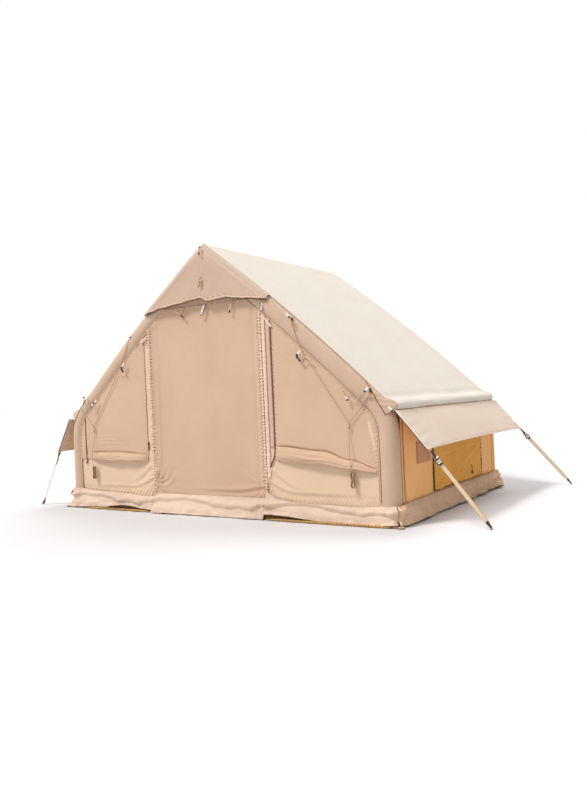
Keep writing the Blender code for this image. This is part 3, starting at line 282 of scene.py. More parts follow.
def plain_material(name, colour, roughness, metallic=0.0, grain=220.0, depth=0.0001):
    """Moulded plastic or painted metal: faint mottling, uneven gloss and a fine grain."""
    made, tree, shader, light = shader_of(name, colour, roughness, metallic)
    place = tree.nodes.new("ShaderNodeTexCoord").outputs["Object"]
    fine = noise_node(tree, place, grain, 3.0)
    worn = (*[min(channel * 1.6 + 0.01, 1.0) for channel in light[:3]], 1.0)
    base = mix_node(tree, math_node(tree, "MULTIPLY", noise_node(tree, place, 70.0, 4.0), 0.35), light, worn)
    tree.links.new(base, shader.inputs["Base Color"])
    rough = math_node(tree, "MULTIPLY_ADD", fine, 0.2)
    rough.node.inputs[2].default_value = roughness - 0.1
    tree.links.new(rough, shader.inputs["Roughness"])
    bumped(tree, shader, ((fine, depth),))
    return made


def ribbed_material(name, colour, shade, pitch, roughness=0.8):
    """Webbing or cord: fine slanting ribs with darker gaps."""
    made, tree, shader, light = shader_of(name, colour, roughness, sheen=0.15)
    place = tree.nodes.new("ShaderNodeTexCoord").outputs["Object"]
    dark = (*[linear(value) for value in shade], 1.0)
    ribs = weave_of(tree, place, pitch)
    drift = noise_node(tree, place, 5.0, 3.0)
    base = mix_node(tree, math_node(tree, "MULTIPLY", ribs, 0.5), light, dark)
    base = mix_node(tree, math_node(tree, "MULTIPLY", drift, 0.35), base, dark)
    tree.links.new(base, shader.inputs["Base Color"])
    bumped(tree, shader, ((ribs, 0.0004), (noise_node(tree, place, 400.0), 0.0001)))
    return made


def mesh_material(name, colour):
    """Insect mesh: a grid of fine threads with clear holes."""
    made, tree, shader, light = shader_of(name, colour, 0.8)
    place = tree.nodes.new("ShaderNodeTexCoord").outputs["Object"]
    holes = math_node(tree, "GREATER_THAN", weave_of(tree, place, 0.0022), 0.22)
    drift = noise_node(tree, place, 30.0)
    base = mix_node(tree, drift, light, (*[channel * 0.6 for channel in light[:3]], 1.0))
    tree.links.new(base, shader.inputs["Base Color"])
    alpha = math_node(tree, "MULTIPLY_ADD", holes, -0.55)
    alpha.node.inputs[2].default_value = 1.0
    tree.links.new(alpha, shader.inputs["Alpha"])
    return made


FINISH = {
    "front": (cloth_material("front cloth", (210, 176, 148), (199, 163, 135)), "front_cloth"),
    "lower": (cloth_material("lower cloth", (226, 195, 166), (214, 184, 156)), "front_cloth"),
    "hood": (cloth_material("hood cloth", (200, 173, 153), (189, 161, 140)), "front_cloth"),
    "sleeve": (cloth_material("sleeve cloth", (203, 173, 148), (193, 162, 135)), "front_cloth"),
    "tape": (cloth_material("tape", (195, 159, 136), (183, 148, 126), 0.0022), "front_cloth"),
    "welt": (cloth_material("welt cloth", (220, 187, 162), (200, 163, 136), 0.0018), "front_cloth"),
    # Painted shade: the side walls are the front's cloth, given a warmer orange that stands in for the shade
    # under the awnings.
    "side": (cloth_material("shaded side cloth", (245, 185, 115), (232, 168, 100)), "front_cloth"),
    # A darker brown, for a square on each side wall.
    "dark_square": (cloth_material("dark square cloth", (196, 140, 98), (184, 128, 88)), "front_cloth"),
    "skirt": (cloth_material("skirt cloth", (228, 200, 177), (194, 163, 145), crease=0.003), "front_cloth"),
    "roof": (cloth_material("roof cloth", (214, 207, 196), (214, 198, 187), sheen=0.05), "roof_cloth"),
    "awning": (cloth_material("awning cloth", (215, 196, 178), (213, 186, 167), sheen=0.05), "roof_cloth"),
    "flap": (cloth_material("flap cloth", (227, 159, 46), (207, 139, 33)), "flap_cloth"),
    "screen": (mesh_material("insect mesh", (70, 60, 50)), "insect_mesh"),
    "film": (plain_material("bladder film", (222, 220, 212), 0.32, grain=12.0, depth=0.001), "bladder_film"),
    "tarp": (cloth_material("groundsheet", (126, 88, 40), (84, 56, 26), 0.0030, 0.6), "groundsheet"),
    "webbing": (ribbed_material("webbing", (246, 230, 206), (205, 165, 115), 0.0021), "webbing"),
    "rope": (ribbed_material("rope", (204, 168, 132), (118, 86, 62), 0.0018), "rope"),
    "dark": (plain_material("dark plastic", (40, 32, 28), 0.42), "dark_plastic"),
    # White plastic of the toggles, also used for the painted highlight along the awnings' side edges.
    "white": (plain_material("white plastic", (243, 238, 232), 0.4), "dark_plastic"),
    "zip": (plain_material("zip metal", (112, 66, 46), 0.4, 0.6), "zip_metal"),
    # Zip coil colour, also used for the painted shadow under the awnings' side edges.
    "coil": (plain_material("zip coil", (122, 62, 42), 0.5), "zip_metal"),
    # Real piping on the side flaps, also used for the painted shadow under the hood's hem.
    "piping": (cloth_material("dark piping", (96, 64, 36), (70, 44, 26), 0.0018), "flap_cloth"),
    "thread": (ribbed_material("thread", (183, 143, 112), (148, 103, 75), 0.0012), "front_cloth"),
    "grey": (cloth_material("grey tape", (206, 177, 156), (191, 160, 139), 0.0022), "front_cloth"),
    # Painted shade: a dark strip laid in each groove of the side walls.
    "shade": (cloth_material("side groove shade", (188, 134, 96), (172, 116, 80), 0.0020), "front_cloth"),
    "gold": (cloth_material("groundsheet tab", (196, 150, 74), (120, 82, 34), 0.0030, 0.5), "groundsheet"),
    # Painted highlight: these two are lighter copies of the front and hood cloth, standing in for light on
    # rolled hems, welts, strips and tabs.
    "rim": (cloth_material("lightened rim cloth", (236, 208, 184), (198, 160, 132), 0.0018), "front_cloth"),
    "hem": (cloth_material("lightened hood hem cloth", (228, 201, 179), (192, 154, 126), 0.0018), "front_cloth"),
    # Painted shade: the dark line laid under each window roll.
    "crease": (cloth_material("roll binding", (168, 118, 84), (146, 96, 64), 0.0018), "front_cloth"),
    # Painted shade: the side skirts are the skirt cloth with a darker, more orange shade colour, standing in
    # for the shade along the sides.
    "skirt_side": (cloth_material("shaded side skirt cloth", (228, 192, 160), (190, 142, 106), crease=0.003),
                   "front_cloth"),
    # Real stitching, also used for the painted shade line in the crease over each window roll.
    "stitch": (ribbed_material("stitches", (178, 120, 80), (140, 88, 56), 0.0012), "front_cloth"),
    "selvedge": (ribbed_material("selvedge", (214, 166, 106), (170, 116, 62), 0.0021), "webbing"),
}


# The house-shaped line that the arches, the roof and the walls follow, as (x, z)

def slope(share, inset=0.0):
    """The right slope at a share of the way from eave to ridge, moved in by an inset."""
    along = Vector((-HALF_WIDTH, ROOF_RISE))
    place = Vector((HALF_WIDTH, EAVE_HEIGHT)) + along * share
    place += CHORD_OUT * RAFTER_CROWN * 4 * share * (1 - share)
    way = along + CHORD_OUT * RAFTER_CROWN * 4 * (1 - 2 * share)
    return place - Vector((way.y, -way.x)).normalized() * inset


def share_at(x, inset):
    """The share at which the inset slope crosses x."""
    low, high = -0.2, 1.2
    for _ in range(40):
        middle = (low + high) / 2
        if slope(middle, inset).x > x:
            low = middle
        else:
            high = middle
    return low


def bend(start, corner, end, steps):
    shares = [step / steps for step in range(steps + 1)]
    return [start * (1 - t) ** 2 + corner * 2 * t * (1 - t) + end * t**2 for t in shares]


def spread(line, count):
    """So many points, evenly spaced along a line."""
    lengths = [0.0]
    for a, b in zip(line, line[1:]):
        lengths.append(lengths[-1] + (b - a).length)
    out, index = [], 0
    for step in range(count):
        walked = lengths[-1] * step / (count - 1)
        while index < len(line) - 2 and lengths[index + 1] < walked:
            index += 1
        share = (walked - lengths[index]) / max(lengths[index + 1] - lengths[index], 1e-9)
        out.append(line[index].lerp(line[index + 1], min(share, 1.0)))
    return out


def arch_line(count=700):
    """The arch's centreline and its outward directions, from the right foot to the left."""
    low = share_at(LEG_X, ARCH_INSET) + EAVE_BEND / CHORD
    high = share_at(0.0, ARCH_INSET) - APEX_BEND / CHORD
    rafter = [slope(low + (high - low) * step / 24, ARCH_INSET) for step in range(25)]
    corner = slope(share_at(LEG_X, ARCH_INSET), ARCH_INSET)
    peak = slope(share_at(0.0, ARCH_INSET), ARCH_INSET)
    half = [Vector((LEG_X, FLOOR + CLEAR))]
    half += bend(corner - Vector((0, EAVE_BEND)), corner, rafter[0], 14)
    half += rafter[1:-1]
    half += bend(rafter[-1], peak, Vector((-rafter[-1].x, rafter[-1].y)), 16)[:9]
    line = spread(half + [Vector((-p.x, p.y)) for p in reversed(half[:-1])], count)
    outs = []
    for index in range(count):
        along = line[min(index + 1, count - 1)] - line[max(index - 1, 0)]
        outs.append(Vector((along.y, -along.x)).normalized())
    return line, outs


ARCH = arch_line()


def inner_half(offset):
    """The right half of the line inside the arch, from its foot to the middle."""
    points = [place - out * offset for place, out in zip(*ARCH)]
    return [point for point in points if point.x >= 0.0]


def seam_height(x, offset=SEAM_OFFSET):
    """The height of the arch's seam at a distance from the middle."""
    line = inner_half(offset)
    for a, b in zip(line, line[1:]):
        if b.x <= abs(x) <= a.x:
            return a.lerp(b, (a.x - abs(x)) / max(a.x - b.x, 1e-9)).y
    return line[-1].y


def smooth(points, steps):
    """Points of a smooth curve through a few places, evenly shared among them."""
    points = [Vector(point) for point in points]
    ends = [points[0] * 2 - points[1], *points, points[-1] * 2 - points[-2]]
    out = []
    for step in range(steps + 1):
        where = step / steps * (len(points) - 1)
        index = min(int(where), len(points) - 2)
        t = where - index
        a, b, c, d = ends[index:index + 4]
        out.append((b * 2 + (c - a) * t + (a * 2 - b * 5 + c * 4 - d) * t**2
                    + (b * 3 - a - c * 3 + d) * t**3) / 2)
    return out


def smooth_pairs(pairs, steps):
    """A smooth curve through pairs of numbers."""
    return [(point.x, point.y) for point in smooth([(a, b, 0) for a, b in pairs], steps)]


def curve_value(x, places):
    """A smooth height at x, through places of (x, height) that run upward in x."""
    places = sorted(places)
    if x <= places[0][0]:
        return places[0][1]
    for (x0, a), (x1, b) in zip(places, places[1:]):
        if x <= x1:
            share = (x - x0) / (x1 - x0)
            return a + (b - a) * share * share * (3 - 2 * share)
    return places[-1][1]


def falloff(distance, reach):
    return math.exp(-((distance / reach) ** 2))


def steps_to(length, step=STEP):
    return max(2, round(abs(length) / step))


def between(low, high, step=STEP):
    """Places from low to high, about a step apart."""
    count = steps_to(high - low, step)
    return [low + (high - low) * index / count for index in range(count + 1)]


# Wrinkles: each takes a place and gives a height along the surface's normal

def ripple_of(seed, *layers):
    """Soft folds of (length along X, along Y, along Z, height)."""
    shift = Vector((seed * 7.31, seed * 3.17, seed * 5.73))

    def height(place):
        return sum(noise.noise(Vector((place.x / a, place.y / b, place.z / c)) + shift) * lift
                   for a, b, c, lift in layers)

    return height


def puckers(distance, along, reach, pitch, lift):
    """Short creases square to a seam, which fade with the distance from it."""
    wobble = noise.noise(Vector((along / pitch / 3.1, 0.3, distance * 9)))
    slant = distance * 0.6
    wave = math.sin(math.tau * (along + slant) / pitch + 4 * wobble)
    return PUCKER_LIFT * lift * math.exp(-abs(distance) / reach) * wave


def fold(distance, width, lift):
    """A crease: a raised lip beside a hollow."""
    return lift * 2.33 * (distance / width) * math.exp(-((distance / width) ** 2))


def rays(u, v, centre, count, reach, lift):
    """Uneven creases that spread from a corner and fade with the distance from it."""
    across, up = u - centre[0], v - centre[1]
    distance = math.hypot(across, up)
    angle = math.atan2(up, across)
    wobble = noise.noise(Vector((angle * 1.7, distance * 7, count)))
    patchy = max(0.30 + 1.5 * noise.noise(Vector((angle * 2.6, 0.4 * count, 3))), 0.0)
    near = min(distance / (0.2 * reach), 1.0)
    return lift * patchy * math.sin(count * angle + 6 * wobble) * near * falloff(distance, reach)


def crumple(u, v, size, lift, seed):
    """Sharp small creases, as gathered cloth has."""
    coarse = noise.noise(Vector((u / size, v / size, seed)))
    fine = noise.noise(Vector((u / size * 2.3, v / size * 2.3, seed + 9)))
    return lift * (0.6 - 1.7 * abs(coarse) + 0.3 - 0.8 * abs(fine))


# Pieces

def add(name, data, key, body="tent", stands_for=(), more=()):
    """Links a mesh or curve as a piece that rides on a body and has a finish."""
    piece = bpy.data.objects.new(name, data)
    for finish in (key, *more):
        data.materials.append(FINISH[finish][0])
    bpy.context.scene.collection.objects.link(piece)
    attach(piece, body)
    if stands_for:
        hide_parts(*stands_for)
    return piece


def mesh_of(name, points, faces, ripple=None, facing=None):
    """A smooth mesh, turned to face a way, with its wrinkles pushed along its normals."""
    mesh = bpy.data.meshes.new(name)
    mesh.from_pydata(points, [], faces)
    mesh.update()
    if facing is not None:
        total = sum((face.normal * face.area for face in mesh.polygons), Vector())
        if total.dot(Vector(facing)) < 0:
            mesh.flip_normals()
            mesh.update()
    if ripple:
        normals = [vertex.normal.copy() for vertex in mesh.vertices]
        for vertex, normal in zip(mesh.vertices, normals):
            vertex.co += normal * ripple(vertex.co)
        mesh.update()
    mesh.shade_smooth()
    return mesh


def grid_faces(rows, columns, around=False):
    faces = []
    for row in range(rows - 1):
        for column in range(columns if around else columns - 1):
            after = (column + 1) % columns
            faces.append((row * columns + column, row * columns + after,
                          (row + 1) * columns + after, (row + 1) * columns + column))
    return faces


def cloth(name, rows, key, facing, ripple=None, body="tent", stands_for=(), held="stretched",
          around=False, thick=FABRIC, declared=True, flat=None):
    """A sheet of cloth over rows of points; it works out its longest line each way, which nothing uses.

    For a closed ring it works out the way round from its area and its way across, not from the rectangle that
    it was cut from.
    """
    points = [Vector(point) for row in rows for point in row]
    mesh = mesh_of(name, points, grid_faces(len(rows), len(rows[0]), around), None, facing)
    flat_area = sum(face.area for face in mesh.polygons)
    if ripple:
        mesh = mesh_of(name, points, [tuple(face.vertices) for face in mesh.polygons], ripple)
    piece = add(name, mesh, key, body, stands_for)
    solid = piece.modifiers.new("thickness", "SOLIDIFY")
    solid.thickness = thick
    solid.offset = -1
    if declared:
        lines = (rows, list(zip(*rows)))
        sizes = [max(sum((b - a).length for a, b in zip(line, line[1:])) for line in way) for way in lines]
        if around:
            sizes[0] = max(sizes[0], flat_area / sizes[1])
        sizes = flat or sizes
        if held == "gathered":
            sizes = (sizes[0], sizes[1] * GATHER)
    return piece


def ring_points(place, across, out, wide, high, sides, phase=0.0):
    return [place + across * (math.cos(math.tau * side / sides + phase) * wide)
            + out * (math.sin(math.tau * side / sides + phase) * high) for side in range(sides)]


def sweep_mesh(name, path, out, wide, high, sides=8, swell=None, closed=False):
    """A tube of oval section along a path, with its height along out, and swelling where asked."""
    count = len(path)
    points = []
    for index, place in enumerate(path):
        before = path[index - 1] if index or closed else path[0]
        after = path[(index + 1) % count] if index < count - 1 or closed else path[-1]
        along = (after - before).normalized()
        up = out[index] if isinstance(out, list) else Vector(out)
        across = along.cross(up).normalized()
        grow = swell(index / (count - 1), place) if swell else 1.0
        points += ring_points(place, across, across.cross(along), wide * grow, high * grow, sides)
    faces = grid_faces(count, sides, True)
    if closed:
        last = (count - 1) * sides
        faces += [(last + side, last + (side + 1) % sides, (side + 1) % sides, side) for side in range(sides)]
    else:
        faces += [tuple(reversed(range(sides))), tuple(range((count - 1) * sides, count * sides))]
    mesh = mesh_of(name, points, faces)
    shape = bmesh.new()
    shape.from_mesh(mesh)
    bmesh.ops.recalc_face_normals(shape, faces=shape.faces)
    shape.to_mesh(mesh)
    shape.free()
    return mesh


def sweep(name, path, out, wide, high, key, body="tent", sides=8, swell=None, closed=False, stands_for=()):
    return add(name, sweep_mesh(name, path, out, wide, high, sides, swell, closed), key, body, stands_for)


def puckered(pitch, depth, seed=0.0):
    """A swelling that gathers a welt at uneven spaces."""
    def swell(share, place):
        along = place.x + place.y * 0.7 + place.z
        wave = math.sin(math.tau * along / pitch + 3 * noise.noise(Vector((along * 9, seed, 0))))
        return 1 + depth * wave + depth * noise.noise(Vector((along * 40, seed, 1)))

    return swell


def beads(name, path, out, size, pitch, key, body="tent", side_step=0.0):
    """Small rounded blocks set along a path: stitches, or a zip's teeth."""
    wide, high, long = (value / 2 for value in size)
    length = sum((b - a).length for a, b in zip(path, path[1:]))
    places = spread(path, max(2, round(length / pitch)))
    points, faces = [], []
    for index, place in enumerate(places[:-1]):
        along = (places[index + 1] - place).normalized()
        across = along.cross(Vector(out)).normalized()
        up = across.cross(along)
        place = place + across * side_step * (1 if index % 2 else -1)
        base = len(points)
        for step, grow in ((-1.0, 0.55), (-0.6, 1.0), (0.6, 1.0), (1.0, 0.55)):
            points += ring_points(place + along * long * step, across, up, wide * grow, high * grow, 6)
        faces += [tuple(base + corner for corner in face) for face in grid_faces(4, 6, True)]
        faces += [tuple(base + corner for corner in reversed(range(6))), tuple(range(base + 18, base + 24))]
    return add(name, mesh_of(name, points, faces), key, body)


def turned(name, profile, centre, axis, key, body="tent", sides=24, stands_for=(), more=(), bands=()):
    """A turned piece from a profile of (height along the axis, radius), with some bands in another finish."""
    toward = Vector(axis).normalized()
    across = toward.orthogonal().normalized()
    side_way = toward.cross(across)
    points = []
    for height, radius in profile:
        points += ring_points(Vector(centre) + toward * height, across, side_way, radius, radius, sides)
    faces = grid_faces(len(profile), sides, True)
    faces += [tuple(reversed(range(sides))), tuple(range((len(profile) - 1) * sides, len(profile) * sides))]
    mesh = mesh_of(name, points, faces)
    shape = bmesh.new()
    shape.from_mesh(mesh)
    bmesh.ops.recalc_face_normals(shape, faces=shape.faces)
    shape.to_mesh(mesh)
    shape.free()
    mesh.set_sharp_from_angle(angle=math.radians(40))
    piece = add(name, mesh, key, body, stands_for, more)
    for face in mesh.polygons:
        if face.index // sides in bands:
            face.material_index = 1
    return piece


TOGGLE_SHARES = ((-1.0, 0.5), (-0.9, 1.0), (-0.5, 1.0), (-0.4, 0.8), (0.3, 0.8), (0.4, 1.0), (0.9, 1.0),
                 (1.0, 0.5))


def toggle(name, start, end, radius, key="white", tip="dark", body="tent"):
    """A small barrel with a waist and one darker end."""
    start, end = Vector(start), Vector(end)
    half = (end - start).length / 2
    profile = [(half * along, radius * wide) for along, wide in TOGGLE_SHARES]
    return turned(name, profile, (start + end) / 2, end - start, key, body, 14, more=(tip,), bands=(4, 5, 6))


def string(name, places, radius, key="rope", body="tent", steps=24):
    """A short sewn loop or tie through a few places."""
    return sweep(name, smooth(places, steps), (0.1, -1, 0.2), radius, radius, key, body, sides=6)


def upright(x, y, low, high, step):
    """Places straight up, about a step apart."""
    return [Vector((x, y, z)) for z in between(low, high, step)]


# Camera, floor and light

def build_camera():
    data = bpy.data.cameras.new("camera")
    camera = bpy.data.objects.new("camera", data)
    bpy.context.scene.collection.objects.link(camera)
    forward = Vector((math.sin(CAMERA_YAW) * math.cos(CAMERA_PITCH),
                      math.cos(CAMERA_YAW) * math.cos(CAMERA_PITCH), math.sin(CAMERA_PITCH)))
    right = Vector((math.cos(CAMERA_YAW), -math.sin(CAMERA_YAW), 0))
    up = right.cross(forward)
    rolled_right = right * math.cos(CAMERA_ROLL) + up * math.sin(CAMERA_ROLL)
    rolled_up = up * math.cos(CAMERA_ROLL) - right * math.sin(CAMERA_ROLL)
    turn = Matrix((rolled_right, rolled_up, -forward)).transposed()
    camera.matrix_world = Matrix.Translation(CAMERA_PLACE) @ turn.to_4x4()
    data.sensor_width = SENSOR
    data.lens = FOCAL_PIXELS * SENSOR / PHOTO_HEIGHT
    data.shift_x = (PHOTO_WIDTH / 2 - CENTRE_PIXEL[0]) / PHOTO_HEIGHT
    data.shift_y = (CENTRE_PIXEL[1] - PHOTO_HEIGHT / 2) / PHOTO_HEIGHT
    data.clip_end = CLIP_END
    bpy.context.scene.camera = camera


def build_sun(name, strength, spread_angle, way):
    """A lamp whose light comes from far away, along a way."""
    data = bpy.data.lights.new(name, "SUN")
    data.energy = strength
    data.angle = spread_angle
    data.color = SUN_COLOUR
    lamp = bpy.data.objects.new(name, data)
    lamp.rotation_mode = "QUATERNION"
    lamp.rotation_quaternion = way.to_track_quat("-Z", "Y")
    bpy.context.scene.collection.objects.link(lamp)


def build_stage():
    """A white floor, soft daylight, a low sun from the front left and a broad one from above."""
    mesh = bpy.data.meshes.new("floor")
    corners = [(STAGE_HALF * x, STAGE_HALF * y, 0) for x, y in ((-1, -1), (1, -1), (1, 1), (-1, 1))]
    mesh.from_pydata(corners, [], [(0, 1, 2, 3)])
    floor = bpy.data.objects.new("floor", mesh)
    floor.location.z = -STAGE_DROP
    made, tree, shader, light = shader_of("floor", STAGE_COLOUR, STAGE_ROUGHNESS)
    shader.inputs["Base Color"].default_value = light
    mesh.materials.append(made)
    bpy.context.scene.collection.objects.link(floor)
    world = bpy.data.worlds.new("studio")
    world.use_nodes = True
    tree = world.node_tree
    sky = tree.nodes["Background"]
    sky.inputs[0].default_value = (1.0, 1.0, 1.0, 1.0)
    seen = tree.nodes.new("ShaderNodeLightPath").outputs["Is Camera Ray"]
    level = math_node(tree, "MULTIPLY_ADD", seen, 1.0 - DAYLIGHT)
    level.node.inputs[2].default_value = DAYLIGHT
    tree.links.new(level, sky.inputs[1])
    bpy.context.scene.world = world
    build_sun("sun", SUN_STRENGTH, SUN_SPREAD, SUN_WAY)
    build_sun("top_light", TOP_STRENGTH, TOP_SPREAD, TOP_WAY)
    bpy.context.scene.view_settings.view_transform = "Standard"


# Guy lines with their hanks and knots

def anchor_frame(side, place):
    """The middle, facing and downward directions of an anchor that lies on the arch's front."""
    share = ANCHOR_SHARES[side][place]
    centre = slope(share, ARCH_INSET)
    out = (slope(share) - centre).normalized()
    facing = Vector((SIGN[side] * out.x * math.cos(ANCHOR_ANGLE), -math.sin(ANCHOR_ANGLE),
                     out.y * math.cos(ANCHOR_ANGLE)))
    middle = Vector((SIGN[side] * centre.x, -ARCH_Y, centre.y))
    middle += facing * (BEAM_RADIUS + CLEAR + ANCHOR_DEPTH / 2)
    down = Vector((0, 0, -1))
    down = (down - facing * down.dot(facing)).normalized()
    return middle, facing, down


def hank_points(side):
    """A hank of upright loops drawn in at the waist, each a pitch nearer the wall than the last."""
    top = Vector((HANK_CENTRE[side], -WALL_Y - HANK_FRONT, HANK_TOP + HANK_STUB))
    points = [top, top - Vector((0, 0, HANK_STUB / 2))]
    first = round(HANK_TURN_SHARE * HANK_POINTS)
    for step in range(first, HANK_LOOPS * HANK_POINTS + 1):
        turns = step / HANK_POINTS
        angle = math.pi / 2 + SIGN[side] * math.tau * turns
        height, across = math.sin(angle), math.cos(angle)
        half = HANK_WIDTH / 2 - (HANK_WIDTH - HANK_WAIST) / 2 * (1 - height**2) ** 2
        x = HANK_CENTRE[side] + half * math.copysign(abs(across) ** HANK_SQUARE_SHARE, across)
        z = HANK_TOP - HANK_HEIGHT / 2 * (1 - height)
        points.append(Vector((x, -WALL_Y - HANK_FRONT + HANK_PITCH * turns, z)))
    return points


def cord_curve(name, points, stands_for):
    """A round cord as one smooth open curve through points."""
    data = bpy.data.curves.new(name, "CURVE")
    data.dimensions = "3D"
    data.bevel_depth = CORD / 2
    data.bevel_resolution = 3
    data.use_fill_caps = True
    line = data.splines.new("POLY")
    line.points.add(len(points) - 1)
    for slot, point in zip(line.points, points):
        slot.co = (*point, 1)
    return add(name, data, "rope", stands_for=stands_for)


def knot(name, place, size, turns=3):
    """A small knot: a cord wound round itself on a ball."""
    path = []
    for step in range(turns * 20 + 1):
        angle = math.tau * step / 20
        tilt = math.pi * (step / (turns * 20) - 0.5) * 0.8
        out = Vector((math.cos(angle) * math.cos(tilt), math.sin(angle) * math.cos(tilt), math.sin(tilt)))
        path.append(Vector(place) + Vector((out.x, out.y, out.z * 1.5)) * size)
    return sweep(name, path, (0.1, 0.2, 1), CORD / 2, CORD / 2, "rope", sides=6)


def build_guy_line(side):
    ends = {"upper": CORD_ROUTES[side], "hook": LEG_ROUTES[side]}
    loops = hank_points(side)
    for place, route in ends.items():
        middle, facing, down = anchor_frame(side, place)
        start = middle + down * (ANCHOR_HEIGHT / 2 + CLEAR)
        points = [start, start + down * STRAIGHT] + [Vector((x, -WALL_Y - depth, z)) for x, depth, z in route]
        if place == "upper":
            points.append(loops[0] + Vector((0, 0, CORD + STRAIGHT)))
            points = smooth(points + [loops[0]], 130)[:-1] + loops
            x, _, z = CORD_ROUTES[side][KNOT_POINT]
            joint = knot(f"guy_knot_{side}", (x, -WALL_Y - 0.026, z + 0.01), 0.0045)
            tie = sweep(f"hank_tie_{side}", [
                Vector((HANK_CENTRE[side] + 0.0105 * math.cos(turn / 3), -WALL_Y - HANK_FRONT / 1.45
                        + 0.016 * math.sin(turn / 3), HANK_TOP - HANK_HEIGHT / 2 + 0.0011 * (turn / 3 - 9)))
                for turn in range(56)], (0, 0, 1), CORD / 2, CORD / 2, "rope", sides=6)
            line = cord_curve(f"guy_line_{side}_cord", points, (f"guy_line_{side}", f"guy_hank_{side}"))
        else:
            leg = cord_curve(f"guy_leg_{side}_cord", smooth(points, 40), (f"guy_leg_{side}",))
            end = knot(f"guy_leg_knot_{side}", points[-1], 0.004, 2)


# Air frame

def arch_rows(y, radius, count, sides, ripple=None):
    """Rings along the arch, from the right foot to the left."""
    line, outs = ARCH
    rows = []
    for step in range(count):
        index = round(step / (count - 1) * (len(line) - 1))
        place, out = line[index], outs[index]
        row = []
        for side in range(sides):
            angle = math.tau * side / sides
            flat = place + out * radius * math.cos(angle)
            point = Vector((flat.x, y + radius * math.sin(angle), flat.y))
            if ripple:
                way = Vector((out.x * math.cos(angle), math.sin(angle), out.y * math.cos(angle)))
                point -= way * abs(ripple(point))
            row.append(point)
        rows.append(row)
    return rows


def build_air_frame():
    for end in ENDS:
        y = SIGN[end] * ARCH_Y
        soft = ripple_of(3 + SIGN[end], (0.16, 0.10, 0.22, 0.0022), (0.035, 0.06, 0.05, 0.0009))
        rows = arch_rows(y, BEAM_RADIUS, 300, 40, soft)
        sleeve = cloth(f"{end}_arch_sleeve_cloth", rows, "sleeve", None, around=True, declared=False,
                       stands_for=(f"{end}_arch_sleeve",))
        rows = arch_rows(y, BEAM_RADIUS - SLEEVE_WALL - BLADDER_SLACK, 160, 20)
        bladder = cloth(f"{end}_arch_bladder_film", rows, "film", None, around=True, declared=False,
                        stands_for=(f"{end}_arch_bladder",))
    eave_x = HALF_WIDTH - CLOTH - CLEAR - CROSS_RADIUS * math.cos(math.pi / 12)
    for name, x in (("ridge_beam", 0.0), ("eave_beam_left", -eave_x), ("eave_beam_right", eave_x)):
        low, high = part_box(name)
        half = (high.y - low.y) / 2
        profile = []
        for y in between(-half, half, 0.012):
            edge = max(1 - (half - abs(y)) / 0.016, 0.0)
            radius = CROSS_RADIUS * (math.sqrt(1 - min(edge, 0.985) ** 2) * 0.32 + 0.68 if edge else 1.0)
            profile.append((y, radius - 0.0006 - 0.0006 * math.sin(y * 60)))
        centre = ((low.x + high.x) / 2, 0, (low.z + high.z) / 2)
        beam = turned(f"{name}_cloth", profile, centre, (0, 1, 0), "sleeve", stands_for=(name,))


# Front

def wall_ring(edge, offset, low, counts):
    """A closed outline inside the seam: along its foot, up the seam and down the post."""
    line = [point for point in inner_half(offset) if point.y >= low and point.x >= edge]
    seam = spread([Vector((line[0].x, low)), *line, Vector((edge, seam_height(edge, offset)))], counts[1])
    base = spread([Vector((edge, low)), Vector((line[0].x, low))], counts[0])
    post = spread([Vector((edge, seam[-1].y)), Vector((edge, low))], counts[2])
    return base[:-1] + seam[:-1] + post[:-1]


def build_front_wall(side):
    sign = SIGN[side]
    edge = abs(DOOR[side]) + ZIP_GAP
    window = COVER_START[side] + 0.035
    counts = (150, 190, 170)
    outer = wall_ring(edge, SEAM_OFFSET, FLOOR + CLEAR, counts)
    inner = wall_ring(window, SEAM_OFFSET + 0.035, 0.550, counts)
    rows = []
    for step in range(61):
        share = step / 60
        rows.append([Vector((sign * p.lerp(q, share).x, -WALL_Y, p.lerp(q, share).y))
                     for p, q in zip(outer, inner)])
    soft = ripple_of(11 + sign, (0.30, 1, 0.16, 0.0035), (0.07, 1, 0.05, 0.0010))

    def ripple(place):
        x, z = abs(place.x), place.z
        post = falloff(x - edge, 0.065)
        corner = rays(x, z, (edge, 0.225), 22, 0.17, 0.0060) + rays(x, z, (1.41, 0.185), 20, 0.08, 0.0040)
        line = fold(z - 0.188 - 0.075 * falloff(x - edge, 0.13), 0.020, 0.0050) * falloff(x - 0.75, 0.50)
        line += fold(z - 0.215 - 0.150 * falloff(x - edge, 0.16), 0.024, 0.0035) * falloff(x - 0.62, 0.26)
        gather = puckers(z - 0.150, x, 0.022, 0.034, 0.0024)
        tuck = crumple(x, z, 0.050, 0.0065, sign) * post * falloff(z - 0.36, 0.16)
        return soft(place) + corner + line + gather + tuck - 0.002

    cloth(f"front_wall_{side}_cloth", rows, "lower", TO_FRONT, ripple, stands_for=(f"front_wall_{side}",),
          around=True)
    screen = wall_ring(window - 0.02, SEAM_OFFSET + 0.015, 0.530, (30, 50, 40))
    middle = Vector((sum(p.x for p in screen) / len(screen), sum(p.y for p in screen) / len(screen)))
    rows = [[Vector((sign * middle.lerp(p, share).x, -WALL_Y + CLOTH + CLEAR, middle.lerp(p, share).y))
             for p in screen] for share in (0.02, 0.25, 0.5, 0.75, 1.0)]
    cloth(f"front_window_screen_{side}_mesh", rows, "screen", TO_FRONT, thick=SCREEN, around=True,
          stands_for=(f"front_window_screen_{side}",))
    build_window_cover(side)


